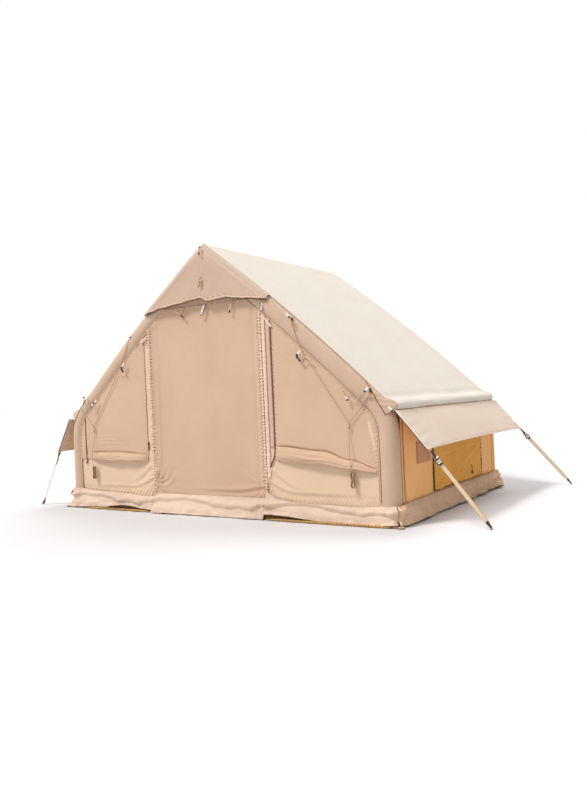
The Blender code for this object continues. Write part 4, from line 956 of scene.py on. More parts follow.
ROLL = {
    "right": {"centre": ((0.0, 0.478), (0.48, 0.449), (0.75, 0.404), (1.0, 0.364)),
              "half": ((0.0, 0.054), (0.48, 0.0424), (0.75, 0.0290), (1.0, 0.0150)), "reach": (0.0, 0.985)},
    "left": {"centre": ((0.0, 0.432), (0.5, 0.440), (1.0, 0.444)),
             "half": ((0.0, 0.031), (0.5, 0.035), (1.0, 0.033)), "reach": (0.02, 0.83)},
}
ROLL_PROFILE = (
    (-1.00, 0.0), (-1.16, 0.18), (-1.20, 0.46), (-1.08, 0.74), (-0.80, 0.96), (-0.40, 1.04), (0.02, 0.98),
    (0.42, 0.86), (0.76, 0.66), (0.96, 0.40), (0.95, 0.16), (0.84, 0.03), (0.93, 0.0), (1.06, 0.14),
    (1.24, 0.30), (1.50, 0.38),
)
COVER_ROWS = 110


def build_roll_lines(side, places):
    """Painted shade: a stitch-coloured line in the crease over a cover's roll, and a dark line under the
    roll.
    """
    for name, index, key, radius in (("fold", 0, "stitch", 0.0026), ("painted_shadow", 1, "crease", 0.0040)):
        path = smooth([pair[index] for pair in places], 260)
        sweep(f"window_roll_{name}_{side}", path, TO_FRONT, radius, radius, key, sides=8,
              swell=puckered(0.05, 0.25))


def build_window_cover(side):
    """A cover zipped over a front window, with slack cloth in a soft roll along its foot."""
    sign = SIGN[side]
    start = COVER_START[side]
    line = [point for point in inner_half(SEAM_OFFSET + 0.008) if point.x >= start]
    end = line[0].x
    line = [point for point in line if point.x < end - 0.0005]
    top = spread([*line, Vector((start, seam_height(start, SEAM_OFFSET + 0.008)))], 170)
    soft = ripple_of(21 + sign, (0.26, 1, 0.40, 0.0035), (0.09, 1, 0.07, 0.0010))
    low_end, high_end = ROLL[side]["reach"]
    wall = -WALL_Y - CLEAR - FABRIC
    rows, lines = [], []
    for point in top:
        share = max((point.x - start) / (end - start), 0.0)
        inside = min(max((share - low_end) / (high_end - low_end), 0.0), 1.0)
        swell = max(math.sin(math.pi * inside), 0.0) ** 0.4
        centre = curve_value(share, ROLL[side]["centre"])
        half = curve_value(share, ROLL[side]["half"]) * (0.72 + 0.28 * swell)
        depth = 0.0025 + 0.0385 * swell * (0.93 + 0.10 * noise.noise(Vector((share * 5, sign, 0))))
        column = []
        for place, out in smooth_pairs(ROLL_PROFILE, 46):
            crease = noise.noise(Vector((share * 2.6, place * 2.4 + share * 0.8, 4 + sign)))
            crease += 0.6 * noise.noise(Vector((share * 7.0, place * 4.0, 7 + sign)))
            column.append((centre + place * half, out * depth * (1 + 0.22 * crease)))
        # Places for the painted shade lines: in the crease over the roll and under the roll.
        if 0.01 < inside < 0.97:
            face = wall - 0.003
            lines.append((Vector((sign * point.x, face - 0.22 * depth, centre + 1.04 * half)),
                          Vector((sign * point.x, face - 0.12 * depth, centre - 1.10 * half))))
        low = column[-1][0]
        for step in range(1, COVER_ROWS + 1):
            upper = step / COVER_ROWS
            bulge = 0.009 * math.sin(math.pi * upper**0.8) * math.sin(math.pi * share)
            crown = 0.34 * depth * (1 - upper) ** 3 + bulge
            column.append((low + (point.y - low) * upper, crown))
        rows.append([Vector((sign * point.x, wall - max(out, 0.0), z)) for z, out in column])

    def ripple(place):
        x, z = abs(place.x), place.z
        seam = seam_height(min(max(x, start), end - 0.002), SEAM_OFFSET + 0.008) - z
        edge = puckers(x - start, z, 0.014, 0.026, 0.0015)
        edge += puckers(end - x, z, 0.016, 0.030, 0.0016) + puckers(seam, x * 1.3, 0.012, 0.036, 0.0012)
        corner = rays(x, z, (start, 1.37), 20, 0.11, 0.0035) + rays(x, z, (end, 0.37), 22, 0.11, 0.0040)
        corner += rays(x, z, (start, 0.45), 18, 0.08, 0.0025)
        line = 0.0
        if side == "left":
            line = fold(z - 0.635, 0.012, 0.0020) * falloff(x - 1.24, 0.07) + 0.0015 * math.sin(z * 210) \
                * falloff(z - 0.57, 0.04) * falloff(x - 1.05, 0.16)
        fade = min((x - start) / 0.05, (end - x) / 0.05, seam / 0.05, 1.0)
        return max(soft(place) * max(fade, 0.0) + edge + corner + line, -0.001) + 0.001

    cloth(f"front_window_cover_{side}_cloth", rows, "front", TO_FRONT, ripple, held="hung",
          stands_for=(f"front_window_cover_{side}",))
    build_roll_lines(side, lines[::8])
    build_cover_trim(side, start, end)


def build_cover_trim(side, start, end):
    """The zip coil along a cover's edge, its hooked foot, and a row of stitches at the outer strip."""
    sign = SIGN[side]
    face = -WALL_Y - 0.0035
    x, low, high = 1.352, 0.400, 0.760
    if side == "right":
        x, low, high = start - 0.004, 0.425, seam_height(start) - 0.010
    path = [(x + 0.010, face - 0.002, low - 0.014), (x + 0.002, face - 0.004, low - 0.020),
            (x - 0.005, face - 0.003, low - 0.006), (x - 0.001, face - 0.002, low + 0.03)]
    if side == "right":
        path = [(x - 0.052, face - 0.002, low - 0.052), (x - 0.034, face - 0.004, low - 0.022),
                (x - 0.012, face - 0.004, low + 0.020), (x - 0.001, face - 0.002, low + 0.100)]
    path += [(x, face - 0.002, low + (high - low) * share) for share in (0.35, 0.6, 0.8, 1.0)]
    path = [Vector((sign * a, b, c)) for a, b, c in path]
    sweep(f"window_zip_coil_{side}", smooth(path, 260), TO_FRONT, 0.0060, 0.0032, "coil", sides=8,
          swell=puckered(0.013, 0.18, sign))
    tape = upright(sign * (x + 0.010), face + 0.0008, low + 0.02, high - 0.02, FINE_STEP)
    sweep(f"window_zip_tape_{side}", tape, TO_FRONT, 0.0060, 0.0016, "tape", sides=8,
          swell=puckered(0.03, 0.10))
    outer = 1.262 if side == "left" else end - 0.045
    foot = 0.480 if side == "left" else 0.420
    row = upright(sign * outer, face - 0.001, foot, foot + 0.245, 0.02)
    beads(f"window_stitches_{side}", row, TO_FRONT, (0.0035, 0.0030, 0.0090), 0.020, "thread")


def build_arch_trim(side):
    """The piped seam inside the front arch, and the flat seam down each leg."""
    sign = SIGN[side]
    line = [point for point in inner_half(SEAM_OFFSET + 0.003) if point.y > 0.150 and point.y < 1.60]
    path = [Vector((sign * p.x, -WALL_Y - 0.0025, p.y)) for p in spread(line, 380)]
    sweep(f"arch_seam_{side}", path, TO_FRONT, 0.0042, 0.0040, "welt", sides=8,
          swell=puckered(0.026, 0.14, sign))
    path = [point + Vector((-sign * 0.0065, 0.0015, 0)) for point in path]
    sweep(f"arch_stitch_{side}", path, TO_FRONT, 0.0020, 0.0020, "thread", sides=6)
    low = [point for point in path if point.z < 0.37]
    sweep(f"leg_stitch_{side}", low, TO_FRONT, 0.0028, 0.0028, "stitch", sides=6, swell=puckered(0.03, 0.2))


def build_sheet_edge(side, start, end):
    """The crumpled edge of the groundsheet, which shows in front of a front skirt's hem."""
    path = []
    for x in between(start, end, 0.004):
        rough = noise.noise(Vector((x * 14, 4, 2)))
        path.append(Vector((x, -TUB_Y - 0.030 - 0.006 * rough, 0.0085 + 0.002 * rough)))

    def crumpled(share, place):
        ends = min(1.0, 8 * share + 0.2, 8 * (1 - share) + 0.2)
        return ends * (1 + 0.38 * noise.noise(Vector((place.x * 60, 1, 5))) + 0.25 * math.sin(place.x * 240))

    sweep(f"groundsheet_edge_{side}", path, TO_FRONT, 0.0085, 0.0110, "gold", sides=12, swell=crumpled)


def build_gable():
    low = DOOR_TOP - 0.004
    line = [point for point in inner_half(SEAM_OFFSET) if point.y >= low]
    xs = [point.x for point in line]
    rows = []
    for x in between(-xs[0], xs[0], 0.012):
        top = seam_height(x)
        rows.append([Vector((x, -WALL_Y + 0.0042, low + (top - low) * step / 20)) for step in range(21)])
    cloth("gable_panel_cloth", rows, "front", TO_FRONT, ripple_of(31, (0.2, 1, 0.2, 0.002)),
          stands_for=("gable_panel",))


def build_rear_wall():
    rows = []
    edge = inner_half(SEAM_OFFSET)[0].x - 0.0005
    for x in between(-edge, edge, 0.018):
        top = seam_height(x)
        low = FLOOR + CLEAR
        rows.append([Vector((x, WALL_Y, low + (top - low) * step / 110)) for step in range(111)])
    soft = ripple_of(35, (0.36, 1, 0.5, 0.004), (0.10, 1, 0.12, 0.0012))

    def ripple(place):
        return soft(place) + puckers(abs(place.x), place.z, 0.02, 0.05, 0.0012) - 0.002

    cloth("rear_wall_cloth", rows, "front", (0, 1, 0), ripple, stands_for=("rear_wall",))


HOOD_HALF = 0.590
HOOD_HEM_PLACES = (
    (-0.590, 1.570), (-0.518, 1.583), (-0.402, 1.603), (-0.205, 1.619), (-0.094, 1.633), (0.015, 1.641),
    (0.085, 1.612), (0.25, 1.622), (0.33, 1.610), (0.42, 1.598), (0.590, 1.578),
)
HOOD_TUCK = {"left": 0.050, "right": 0.034}


def hood_column(x, count=46):
    """Points down the hood at x: over the arch's front quarter, then free to the hem."""
    u = x / HOOD_HALF
    hem = curve_value(x, HOOD_HEM_PLACES)
    ridge = slope(share_at(abs(x), 0.0)).y
    reach = BEAM_RADIUS + CLEAR + CLOTH + 0.006
    top_angle = math.radians(15)
    upper = ridge - (ARCH_INSET - (BEAM_RADIUS + CLEAR + CLOTH) * math.cos(top_angle)) / CHORD_OUT.y
    points = []
    for index in range(count):
        share = index / (count - 1)
        z = upper + (hem - upper) * share
        across = max(ARCH_INSET - (ridge - z) * CHORD_OUT.y, 0.0)
        lift = reach + 0.006 * min(share * 4, 1.0)
        y = ARCH_Y + math.sqrt(max(lift**2 - across**2, 0.0))
        if index == 0:
            y = ARCH_Y + (BEAM_RADIUS + CLEAR + CLOTH) * math.sin(top_angle)
        free = max(share - 0.3, 0.0) / 0.7
        points.append(Vector((x, -y - 0.016 * free**2 * (1 - u * u), z)))
    return points


def build_hood():
    """A loose triangular hood that hangs over the gable from the roof's front edges."""
    rows = [hood_column(x, 64) for x in between(-HOOD_HALF, HOOD_HALF, 0.008)]
    soft = ripple_of(41, (0.14, 1, 0.34, 0.0060), (0.040, 1, 0.12, 0.0012))

    def ripple(place):
        x = abs(place.x)
        hem = curve_value(place.x, HOOD_HEM_PLACES)
        near = place.z - hem
        side = "left" if place.x < 0 else "right"
        inset = (slope(share_at(x, 0.0)).y - place.z) * CHORD_OUT.y
        tuck = fold(inset - HOOD_TUCK[side], 0.013, 0.0050) * min(x / 0.12, 1.0)
        twist = 0.0085 * math.sin(115 * (place.x + 0.9 * near)) * falloff(near, 0.030)
        twist *= falloff(place.x - 0.12, 0.22)
        corner = rays(x, place.z, (HOOD_HALF, 1.575), 24, 0.16, 0.0055)
        crease = -0.0040 * falloff(place.x - 0.012, 0.006) * falloff(place.z - 1.90, 0.085)
        return soft(place) * (0.5 + 0.5 * falloff(near, 0.08)) + tuck + twist + corner + crease

    cloth("gable_hood_cloth", rows, "hood", (0, -1, 0.2), ripple, held="hung",
          stands_for=("gable_hood",))
    hem = [hood_column(x)[-1] + Vector((0, -0.002, 0.007)) for x in between(-HOOD_HALF, HOOD_HALF, 0.003)]

    def roll(share, place):
        twist = math.sin(math.tau * (place.x + 0.35) / 0.034 + 3 * noise.noise(Vector((place.x * 9, 2, 0))))
        thin = 0.70 * (abs(place.x) / HOOD_HALF) ** 6
        return 1 + (0.06 + 0.26 * falloff(place.x - 0.12, 0.20)) * twist - thin

    # The hem takes the lightened hood hem cloth, a painted highlight.
    sweep("gable_hood_hem", hem, TO_FRONT, 0.0064, 0.0062, "hem", sides=14, swell=roll)
    # Painted shadow: a dark strip laid under the hem, thicker towards its ends.
    under = [place + Vector((0, 0.004, -0.0095)) for place in hem]
    sweep("gable_hood_binding", under, TO_FRONT, 0.0042, 0.0050, "piping", sides=10,
          swell=lambda share, place: 0.55 + 0.75 * (abs(place.x) / HOOD_HALF) ** 2)
    build_hood_ties()


BAND_BARS = {
    "right": (((0.775, 1.455), (0.803, 1.417)), ((0.872, 1.190), (0.836, 1.152)),
              ((0.836, 1.150), (0.870, 1.112)), ((1.211, 0.858), (1.222, 0.830)),
              ((1.384, 0.910), (1.352, 0.884)), ((1.524, 0.782), (1.552, 0.748))),
    "left": (((-0.716, 1.432), (-0.736, 1.400)), ((-0.828, 1.206), (-0.862, 1.160)),
             ((-0.862, 1.156), (-0.842, 1.130)), ((-1.172, 0.912), (-1.206, 0.886)),
             ((-1.208, 0.880), (-1.226, 0.856)), ((-1.300, 0.962), (-1.318, 0.936))),
}
BAND_LOOPS = {
    "right": (((0.870, 1.112), (0.905, 1.140), (0.948, 1.122), (0.955, 1.108)),
              ((0.803, 1.415), (0.815, 1.385), (0.806, 1.360)),
              ((1.190, 0.900), (1.204, 0.880), (1.211, 0.860)),
              ((1.218, 0.862), (1.262, 0.856), (1.310, 0.836)),
              ((1.366, 0.890), (1.336, 0.862), (1.300, 0.812)),
              ((1.352, 0.880), (1.318, 0.850), (1.292, 0.816)),
              ((1.384, 0.912), (1.404, 0.925))),
    "left": (((-0.842, 1.130), (-0.880, 1.150), (-0.916, 1.136)),
             ((-1.226, 0.856), (-1.250, 0.846), (-1.236, 0.826)),
             ((-1.318, 0.936), (-1.322, 0.905), (-1.300, 0.862), (-1.286, 0.826)),
             ((-1.206, 0.888), (-1.236, 0.900), (-1.262, 0.884))),
}


def build_band_ties():
    """Toggles, bows and small loops that hold the guy lines along the arch."""
    y = -WALL_Y - 0.030
    for side in SIDES:
        for index, (start, end) in enumerate(BAND_BARS[side]):
            deep = 0.012 if index == 0 or index > 3 else 0.004
            key = "dark" if index == 2 else "white"
            toggle(f"band_toggle_{side}_{index}", (start[0], y - deep, start[1]),
                   (end[0], y - deep - 0.002, end[1]), 0.0078, key)
        for index, places in enumerate(BAND_LOOPS[side]):
            points = [Vector((x, y - 0.004 - 0.004 * math.sin(math.pi * step / (len(places) - 1)), z))
                      for step, (x, z) in enumerate(places)]
            string(f"band_loop_{side}_{index}", points, 0.0030, "welt" if index == 0 else "rope")


def build_hood_ties():
    """Small loops and toggles: at the apex, on the hood's middle, and under its hem over the door."""
    face = -WALL_Y
    top = Vector((0.018, face - 0.036, 2.030))
    toggle("apex_toggle_upper", top, top + Vector((0.001, 0.002, -0.014)), 0.0075, "dark")
    string("apex_loop", [top + Vector((dx, -0.004 - 0.006 * step / 5, -0.012 * step)) for step, dx in
                         enumerate((0.0, 0.006, 0.006, 0.002, 0.0))], 0.0030, "tape")
    toggle("apex_toggle_lower", top + Vector((0.003, -0.012, -0.050)), top + Vector((0.004, -0.013, -0.066)),
           0.0065, "dark")
    wave = [Vector((0.022 + 0.013 * math.sin(step * 1.9), face - 0.052 - 0.004 * math.cos(step * 2.3),
                    1.800 - 0.0105 * step)) for step in range(8)]
    string("hood_cord_bow", wave, 0.0034, "rope", steps=70)
    knot("hood_cord_knot", (0.018, face - 0.054, 1.760), 0.0050, 3)
    knot("hood_cord_knot_low", (0.006, face - 0.054, 1.726), 0.0040, 2)
    front = face - 0.016
    loop = [(-0.252, front, 1.590), (-0.262, front - 0.006, 1.570), (-0.232, front - 0.010, 1.552),
            (-0.205, front - 0.008, 1.560), (-0.192, front - 0.006, 1.588)]
    string("door_tie_loop", [Vector(place) for place in loop], 0.0030, "welt", "door", 40)
    string("door_tie_cord", [Vector((-0.226, front - 0.008, 1.555)), Vector((-0.206, front - 0.009, 1.545)),
                             Vector((-0.192, front - 0.009, 1.536))], 0.0026, "rope", "door")
    toggle("door_tie_toggle", (-0.204, front - 0.009, 1.536), (-0.180, front - 0.009, 1.514), 0.0068, "dark",
           body="door")
    strap = [Vector(place) for place in ((0.024, front, 1.592), (0.018, front - 0.006, 1.572),
                                         (0.006, front - 0.007, 1.545), (-0.003, front - 0.005, 1.520))]
    sweep("door_tie_strap", smooth(strap, 24), TO_FRONT, 0.0080, 0.0022, "white", "door", sides=10)
    edge = [place + Vector((0.0105, 0.001, 0)) for place in strap]
    sweep("door_tie_strap_edge", smooth(edge, 24), TO_FRONT, 0.0034, 0.0026, "coil", "door", sides=8)
    toggle("door_tie_strap_end", (0.002, front - 0.006, 1.522), (-0.010, front - 0.006, 1.512), 0.0070,
           "rope", "rope", "door")
    tab = [Vector((0.284, front, 1.592)), Vector((0.276, front - 0.006, 1.560)),
           Vector((0.266, front - 0.006, 1.526))]
    sweep("door_tie_tab", smooth(tab, 20), TO_FRONT, 0.0062, 0.0020, "welt", "door", sides=8)
    toggle("door_tie_tab_end", (0.267, front - 0.006, 1.526), (0.262, front - 0.006, 1.508), 0.0062, "dark",
           body="door")
    for index, x in enumerate((0.530, 0.548)):
        tie = [Vector((x, front + 0.002, 1.552)), Vector((x + 0.010, front - 0.008, 1.530)),
               Vector((x + 0.024 - 0.03 * index, front - 0.006, 1.502))]
        string(f"door_corner_tie_{index}", tie, 0.0034, ("rope", "white")[index])
    toggle("door_corner_toggle", (0.546, front - 0.006, 1.508), (0.560, front - 0.006, 1.492), 0.0060)


# Door

def door_top(x):
    return min(DOOR_TOP, seam_height(x))


def build_door():
    low = DOOR_FOOT
    rows = []
    for x in between(DOOR["left"], DOOR["right"], 0.0075):
        top = door_top(x)
        rows.append([Vector((x, -WALL_Y, low + (top - low) * step / 200)) for step in range(201)])
    soft = ripple_of(51, (0.24, 1, 0.80, 0.0080), (0.09, 1, 0.14, 0.0012))

    def ripple(place):
        z = place.z
        left, right = place.x - DOOR["left"], DOOR["right"] - place.x
        edges = puckers(left, z, 0.024, 0.028, 0.0042) + puckers(right, z, 0.018, 0.026, 0.0034)
        band = 0.0080 / (1 + math.exp((left - 0.074) / 0.007)) + 0.0030 * falloff(right - 0.018, 0.012)
        band -= 0.0040 * falloff(right - 0.048, 0.018) + 0.0026 * falloff(left - 0.045, 0.010)
        foot = rays(-right, z, (0.0, 0.215), 17, 0.19, 0.0070) + rays(left, z, (0.0, 0.215), 16, 0.17, 0.0065)
        near = falloff(right, 0.06) + falloff(left, 0.07)
        foot += crumple(place.x, z, 0.055, 0.0085, 5) * falloff(z - 0.28, 0.12) * near
        bulge = 0.014 * falloff(left - 0.030, 0.020) * falloff(z - 0.315 + 0.8 * (left - 0.03), 0.035)
        line = fold(z - 0.190 - 0.035 * falloff(right, 0.14), 0.020, 0.0055) * falloff(right - 0.20, 0.35)
        seam = max(seam_height(abs(place.x)) - z, 0.0)
        head = rays(left, z, (0.0, 1.50), 16, 0.12, 0.0040) + puckers(1.60 - z, place.x, 0.012, 0.040, 0.0012)
        head += crumple(place.x, z, 0.045, 0.0080, 3) * falloff(seam, 0.05) * falloff(left, 0.20)
        return soft(place) + edges + band + foot + bulge + line + head - 0.001

    cloth("door_panel_cloth", rows, "front", TO_FRONT, ripple, body="door", held="hung",
          stands_for=("door_panel",))
    build_door_trim()


def build_door_trim():
    """Puckered welts beside the door's zips, with their stitches, tapes and post strips."""
    face = -WALL_Y - 0.003
    # The welts, the post strip and the corner tabs take the lightened rim cloth, a painted highlight.
    for side, x, radius in (("left", DOOR["left"] - 0.011, 0.0110), ("right", DOOR["right"] + 0.010, 0.0100)):
        path = upright(x, face, 0.165, seam_height(x) - 0.004, 0.003)
        sweep(f"door_welt_{side}", path, TO_FRONT, radius, radius * 0.80, "rim", sides=10,
              swell=puckered(0.022, 0.36, SIGN[side]))
        row = [point + Vector((SIGN[side] * 0.0100, -0.0030, 0)) for point in path[::6]]
        beads(f"door_stitches_{side}", row, TO_FRONT, (0.0044, 0.0044, 0.0085), 0.0165, "stitch")
        middle = DOOR[side] + SIGN[side] * ZIP_GAP / 2
        gap = [Vector((middle, -WALL_Y + 0.0035, point.z)) for point in path[::4]]
        sweep(f"door_zip_backing_{side}", gap, TO_FRONT, 0.0090, 0.0010, "tape", sides=6)
    strip = upright(DOOR["right"] + 0.038, face, 0.300, seam_height(0.545) - 0.008, 0.004)
    sweep("door_post_strip_right", strip, TO_FRONT, 0.0160, 0.0040, "rim", sides=10,
          swell=puckered(0.040, 0.09))
    strip = upright(DOOR["right"] + 0.076, face, 0.520, seam_height(0.585) - 0.006, 0.004)
    sweep("door_post_tape_right", strip, TO_FRONT, 0.0185, 0.0028, "grey", sides=10,
          swell=puckered(0.050, 0.05))
    path = upright(DOOR["right"] + 0.0565, face - 0.001, 0.520, seam_height(0.565) - 0.006, 0.006)
    sweep("door_post_seam_right", path, TO_FRONT, 0.0024, 0.0028, "stitch", sides=6)
    lump = [Vector((-0.588 - 0.016 * step, face - 0.006, 1.392 - 0.009 * step)) for step in range(5)]
    sweep("door_corner_tab_left", smooth(lump, 16), TO_FRONT, 0.0130, 0.0075, "rim", sides=10,
          swell=puckered(0.02, 0.2))
    lump = [Vector((0.540 + 0.016 * step, face - 0.005, 1.470 - 0.019 * step)) for step in range(6)]
    sweep("door_corner_tab_right", smooth(lump, 20), TO_FRONT, 0.0080, 0.0055, "rim", sides=10,
          swell=puckered(0.02, 0.2))


# Skirts

def foot_place(kind, value, half_x, half_y, hugging, signs=(1, 1)):
    """A point on the foot line: along the front or rear, round a corner, or along a side."""
    if kind == "corner":
        x = LEG_X + (half_x - LEG_X) * math.sin(value)
        y = ARCH_Y + (half_y - ARCH_Y) * math.cos(value)
        return Vector((signs[0] * x, signs[1] * y, 0))
    if kind == "side":
        return Vector((signs[0] * half_x, value, 0))
    y = half_y
    if hugging:
        tube = ARCH_Y + math.sqrt(max(BEAM_RADIUS**2 - (abs(value) - LEG_X) ** 2, 0.0))
        y = max(WALL_Y, tube) + half_y - HALF_LENGTH
    return Vector((value, SIGN[kind] * y, 0))


def skirt_profile(place, on_door):
    """The heights of a skirt's top and hem, and how far its hem stands out, at a place on the foot line."""
    front = place.y < -ARCH_Y
    top, hem, out = 0.146, 0.010, 0.020
    wave = noise.noise(Vector((place.x * 5, place.y * 5, 3)))
    if on_door:
        share = (DOOR["right"] - place.x) / (DOOR["right"] - DOOR["left"])
        return 0.150, 0.004, 0.030 + 0.026 * share**3 + 0.006 * wave
    if front and place.x > 0:
        top = 0.118 + 0.095 * math.exp(-(place.x - DOOR["right"]) / 0.09)
        top += 0.020 * falloff(place.x - HALF_WIDTH, 0.2)
        hem = 0.006 + 0.036 * falloff(place.x - 0.56, 0.34) + 0.012 * falloff(place.x - 1.50, 0.08)
    elif front:
        top = 0.140 + 0.03 * falloff(place.x + HALF_WIDTH, 0.25) - 0.02 * falloff(place.x + 0.67, 0.2)
        hem = 0.010 + 0.028 * falloff(place.x + 0.90, 0.32) + 0.010 * wave
    elif abs(place.y) < ARCH_Y:
        hem += 0.012 * max(place.y + 0.2, 0.0) / HALF_LENGTH
    return top, max(hem + 0.006 * wave, 0.003), out + 0.010 * wave


def skirt_rows(columns, on_door, drops=34):
    rows = []
    for kind, value, signs in columns:
        top = foot_place(kind, value, HALF_WIDTH + CLEAR + FABRIC, HALF_LENGTH + CLEAR + FABRIC, True, signs)
        knee = foot_place(kind, value, TUB_X + CLEAR + FABRIC, TUB_Y + CLEAR + FABRIC, False, signs)
        if kind == "corner":
            out = Vector((knee.x - signs[0] * LEG_X, knee.y - signs[1] * ARCH_Y, 0)).normalized()
        else:
            out = Vector((signs[0], 0, 0)) if kind == "side" else Vector((0, SIGN[kind], 0))
        high, low, reach = skirt_profile(knee, on_door)
        row = []
        for step in range(drops + 1):
            drop = step / drops
            flat = top.lerp(knee, min(drop * 1.8, 1.0))
            z = high + (low - high) * drop
            away = reach * drop**1.6 + 0.005 * math.sin(math.pi * drop)
            row.append(flat + out * away + Vector((0, 0, z)))
        rows.append(row)
    return rows


def skirt_ripple(seed, gather, on_door=False):
    """Gathers that hang from the skirt's top and slow folds that grow towards its hem."""
    soft = ripple_of(seed, (0.17, 0.17, 0.13, 0.0200), (0.055, 0.055, 0.08, 0.0080))

    def ripple(place):
        along = place.x + place.y
        low = min(max((0.16 - place.z) / 0.12, 0.0), 1.0)
        top = puckers(0.15 - place.z, along, 0.024, 0.026, gather * 2.0)
        deep = crumple(along, place.z * 0.8, 0.042, gather * 4.8, seed) * (0.35 + 0.65 * low)
        front = place.y < -ARCH_Y
        if front:
            ends = falloff(place.x - DOOR["right"], 0.10) + falloff(place.x - DOOR["left"], 0.10)
            deep *= 0.45 + 1.2 * ends + 1.0 * falloff(abs(place.x) - HALF_WIDTH, 0.14)
            line = 0.088 - 0.020 * math.sin(place.x * 6) + 0.014 * noise.noise(Vector((place.x * 9, 2, 8)))
            deep += fold(place.z - line, 0.028, 0.0170) * (0.8 if on_door else 1.0)
            fine = 0.0050 * math.sin(along * 310 + 3 * noise.noise(Vector((along * 22, place.z * 12, 1))))
            deep += fine * falloff(place.z - 0.045, 0.035) * falloff(place.x - 0.92, 0.16) * (not on_door)
        elif abs(place.x) > LEG_X:
            rear = 1.9 / (1 + math.exp(-(place.y - 0.05) / 0.10))
            deep *= 0.60 + rear + falloff(abs(place.y) - HALF_LENGTH, 0.14)
        return max((soft(place) + 0.006) * low + top + deep + 0.001, -0.0012)

    return ripple


def build_skirts():
    turn = [math.pi / 2 * step / 12 for step in range(13)]
    for side in SIDES:
        sign = SIGN[side]
        edge = abs(DOOR[side]) + ZIP_GAP
        columns = [("front", sign * x, (sign, -1)) for x in between(edge, LEG_X)[:-1]]
        columns += [("corner", angle, (sign, -1)) for angle in turn[:7]]
        cloth(f"skirt_front_{side}_cloth", skirt_rows(columns, False), "skirt", TO_FRONT,
              skirt_ripple(61 + sign, 0.0022), stands_for=(f"skirt_front_{side}",), held="gathered")
        columns = [("corner", angle, (sign, -1)) for angle in turn[6:]]
        columns += [("side", y, (sign, 1)) for y in between(-ARCH_Y, ARCH_Y)[1:-1]]
        columns += [("corner", angle, (sign, 1)) for angle in reversed(turn[6:])]
        # The side skirts take the shaded side skirt cloth, a painted shade.
        cloth(f"skirt_side_{side}_cloth", skirt_rows(columns, False), "skirt_side", (sign, 0, 0),
              skirt_ripple(65 + sign, 0.0030), stands_for=(f"skirt_side_{side}",), held="gathered")
    columns = [("corner", angle, (-1, 1)) for angle in reversed(turn[:7])]
    columns += [("rear", x, (1, 1)) for x in between(-LEG_X, LEG_X)[1:-1]]
    columns += [("corner", angle, (1, 1)) for angle in turn[:7]]
    cloth("skirt_rear_cloth", skirt_rows(columns, False), "skirt", (0, 1, 0), skirt_ripple(69, 0.0026),
          stands_for=("skirt_rear",), held="gathered")
    columns = [("front", x, (1, -1)) for x in between(DOOR["left"], DOOR["right"])]
    cloth("door_skirt_cloth", skirt_rows(columns, True), "skirt", TO_FRONT, skirt_ripple(71, 0.0016, True),
          body="door", stands_for=("door_skirt",), held="gathered")


# Roof and awnings

def roof_line(inset, sag):
    """From the ridge down the slope and round the soft eave roll to the seam with the awning."""
    top = share_at(0.0006, inset)
    shares = [top + (0.060 - top) * step / 60 for step in range(61)]
    line = [slope(share, inset + sag * math.sin(math.pi * share) ** 2) for share in shares]
    shoulder = Vector((HALF_WIDTH + 0.020 - inset, EAVE_HEIGHT + 0.066))
    seam = Vector((HALF_WIDTH - 0.002 - inset, EAVE_HEIGHT + 0.006))
    return line[:-1] + bend(line[-1], shoulder, seam, 16)


def build_roof():
    reach = ARCH_INSET
    for side in SIDES:
        sign = SIGN[side]
        rows = []
        lap = [math.radians(angle) for angle in (15, 10, 5)]
        strips = [(reach - reach * math.cos(angle), -ARCH_Y - reach * math.sin(angle), 0.0) for angle in lap]
        strips += [(0.0, y, 0.010 * (1 - (y / ARCH_Y) ** 2)) for y in between(-ARCH_Y, ARCH_Y, 0.018)]
        strips += [(reach - reach * math.cos(angle), ARCH_Y + reach * math.sin(angle), 0.0)
                   for angle in lap[::-1]]
        for inset, y, sag in strips:
            rows.append([Vector((sign * point.x, y, point.y)) for point in roof_line(inset, sag)])
        soft = ripple_of(81 + sign, (0.6, 0.30, 0.6, 0.0065), (0.16, 0.24, 0.16, 0.0018))

        def ripple(place):
            edge = min(1.0, (ARCH_Y + 0.02 - abs(place.y)) / 0.12)
            ridge = min(1.0, abs(place.x) / 0.10)
            eave = falloff(place.z - 0.80, 0.05)
            bulge = 0.0050 * noise.noise(Vector((place.y * 6, place.z * 22, 5))) * eave
            bulge -= 0.0060 * falloff(place.z - 0.846 + 0.006 * math.sin(place.y * 7), 0.009)
            bulge += 0.0030 * falloff(place.z - 0.880 + 0.006 * math.sin(place.y * 7), 0.016)
            corner = rays(abs(place.y), place.z, (ARCH_Y, 0.82), 20, 0.14, 0.0035)
            return (soft(place) - 0.002) * max(edge, 0.0) * ridge + bulge + corner

        cloth(f"roof_{side}_cloth", rows, "roof", (sign, 0, 1), ripple, stands_for=(f"roof_{side}",))
        for end in ENDS:
            build_roof_end(side, end, lap[0])


def nearest_on_arch(point):
    """The nearest place on the arch's line to a point of the roof's line."""
    return min(ARCH[0], key=lambda place: (place - point).length_squared)


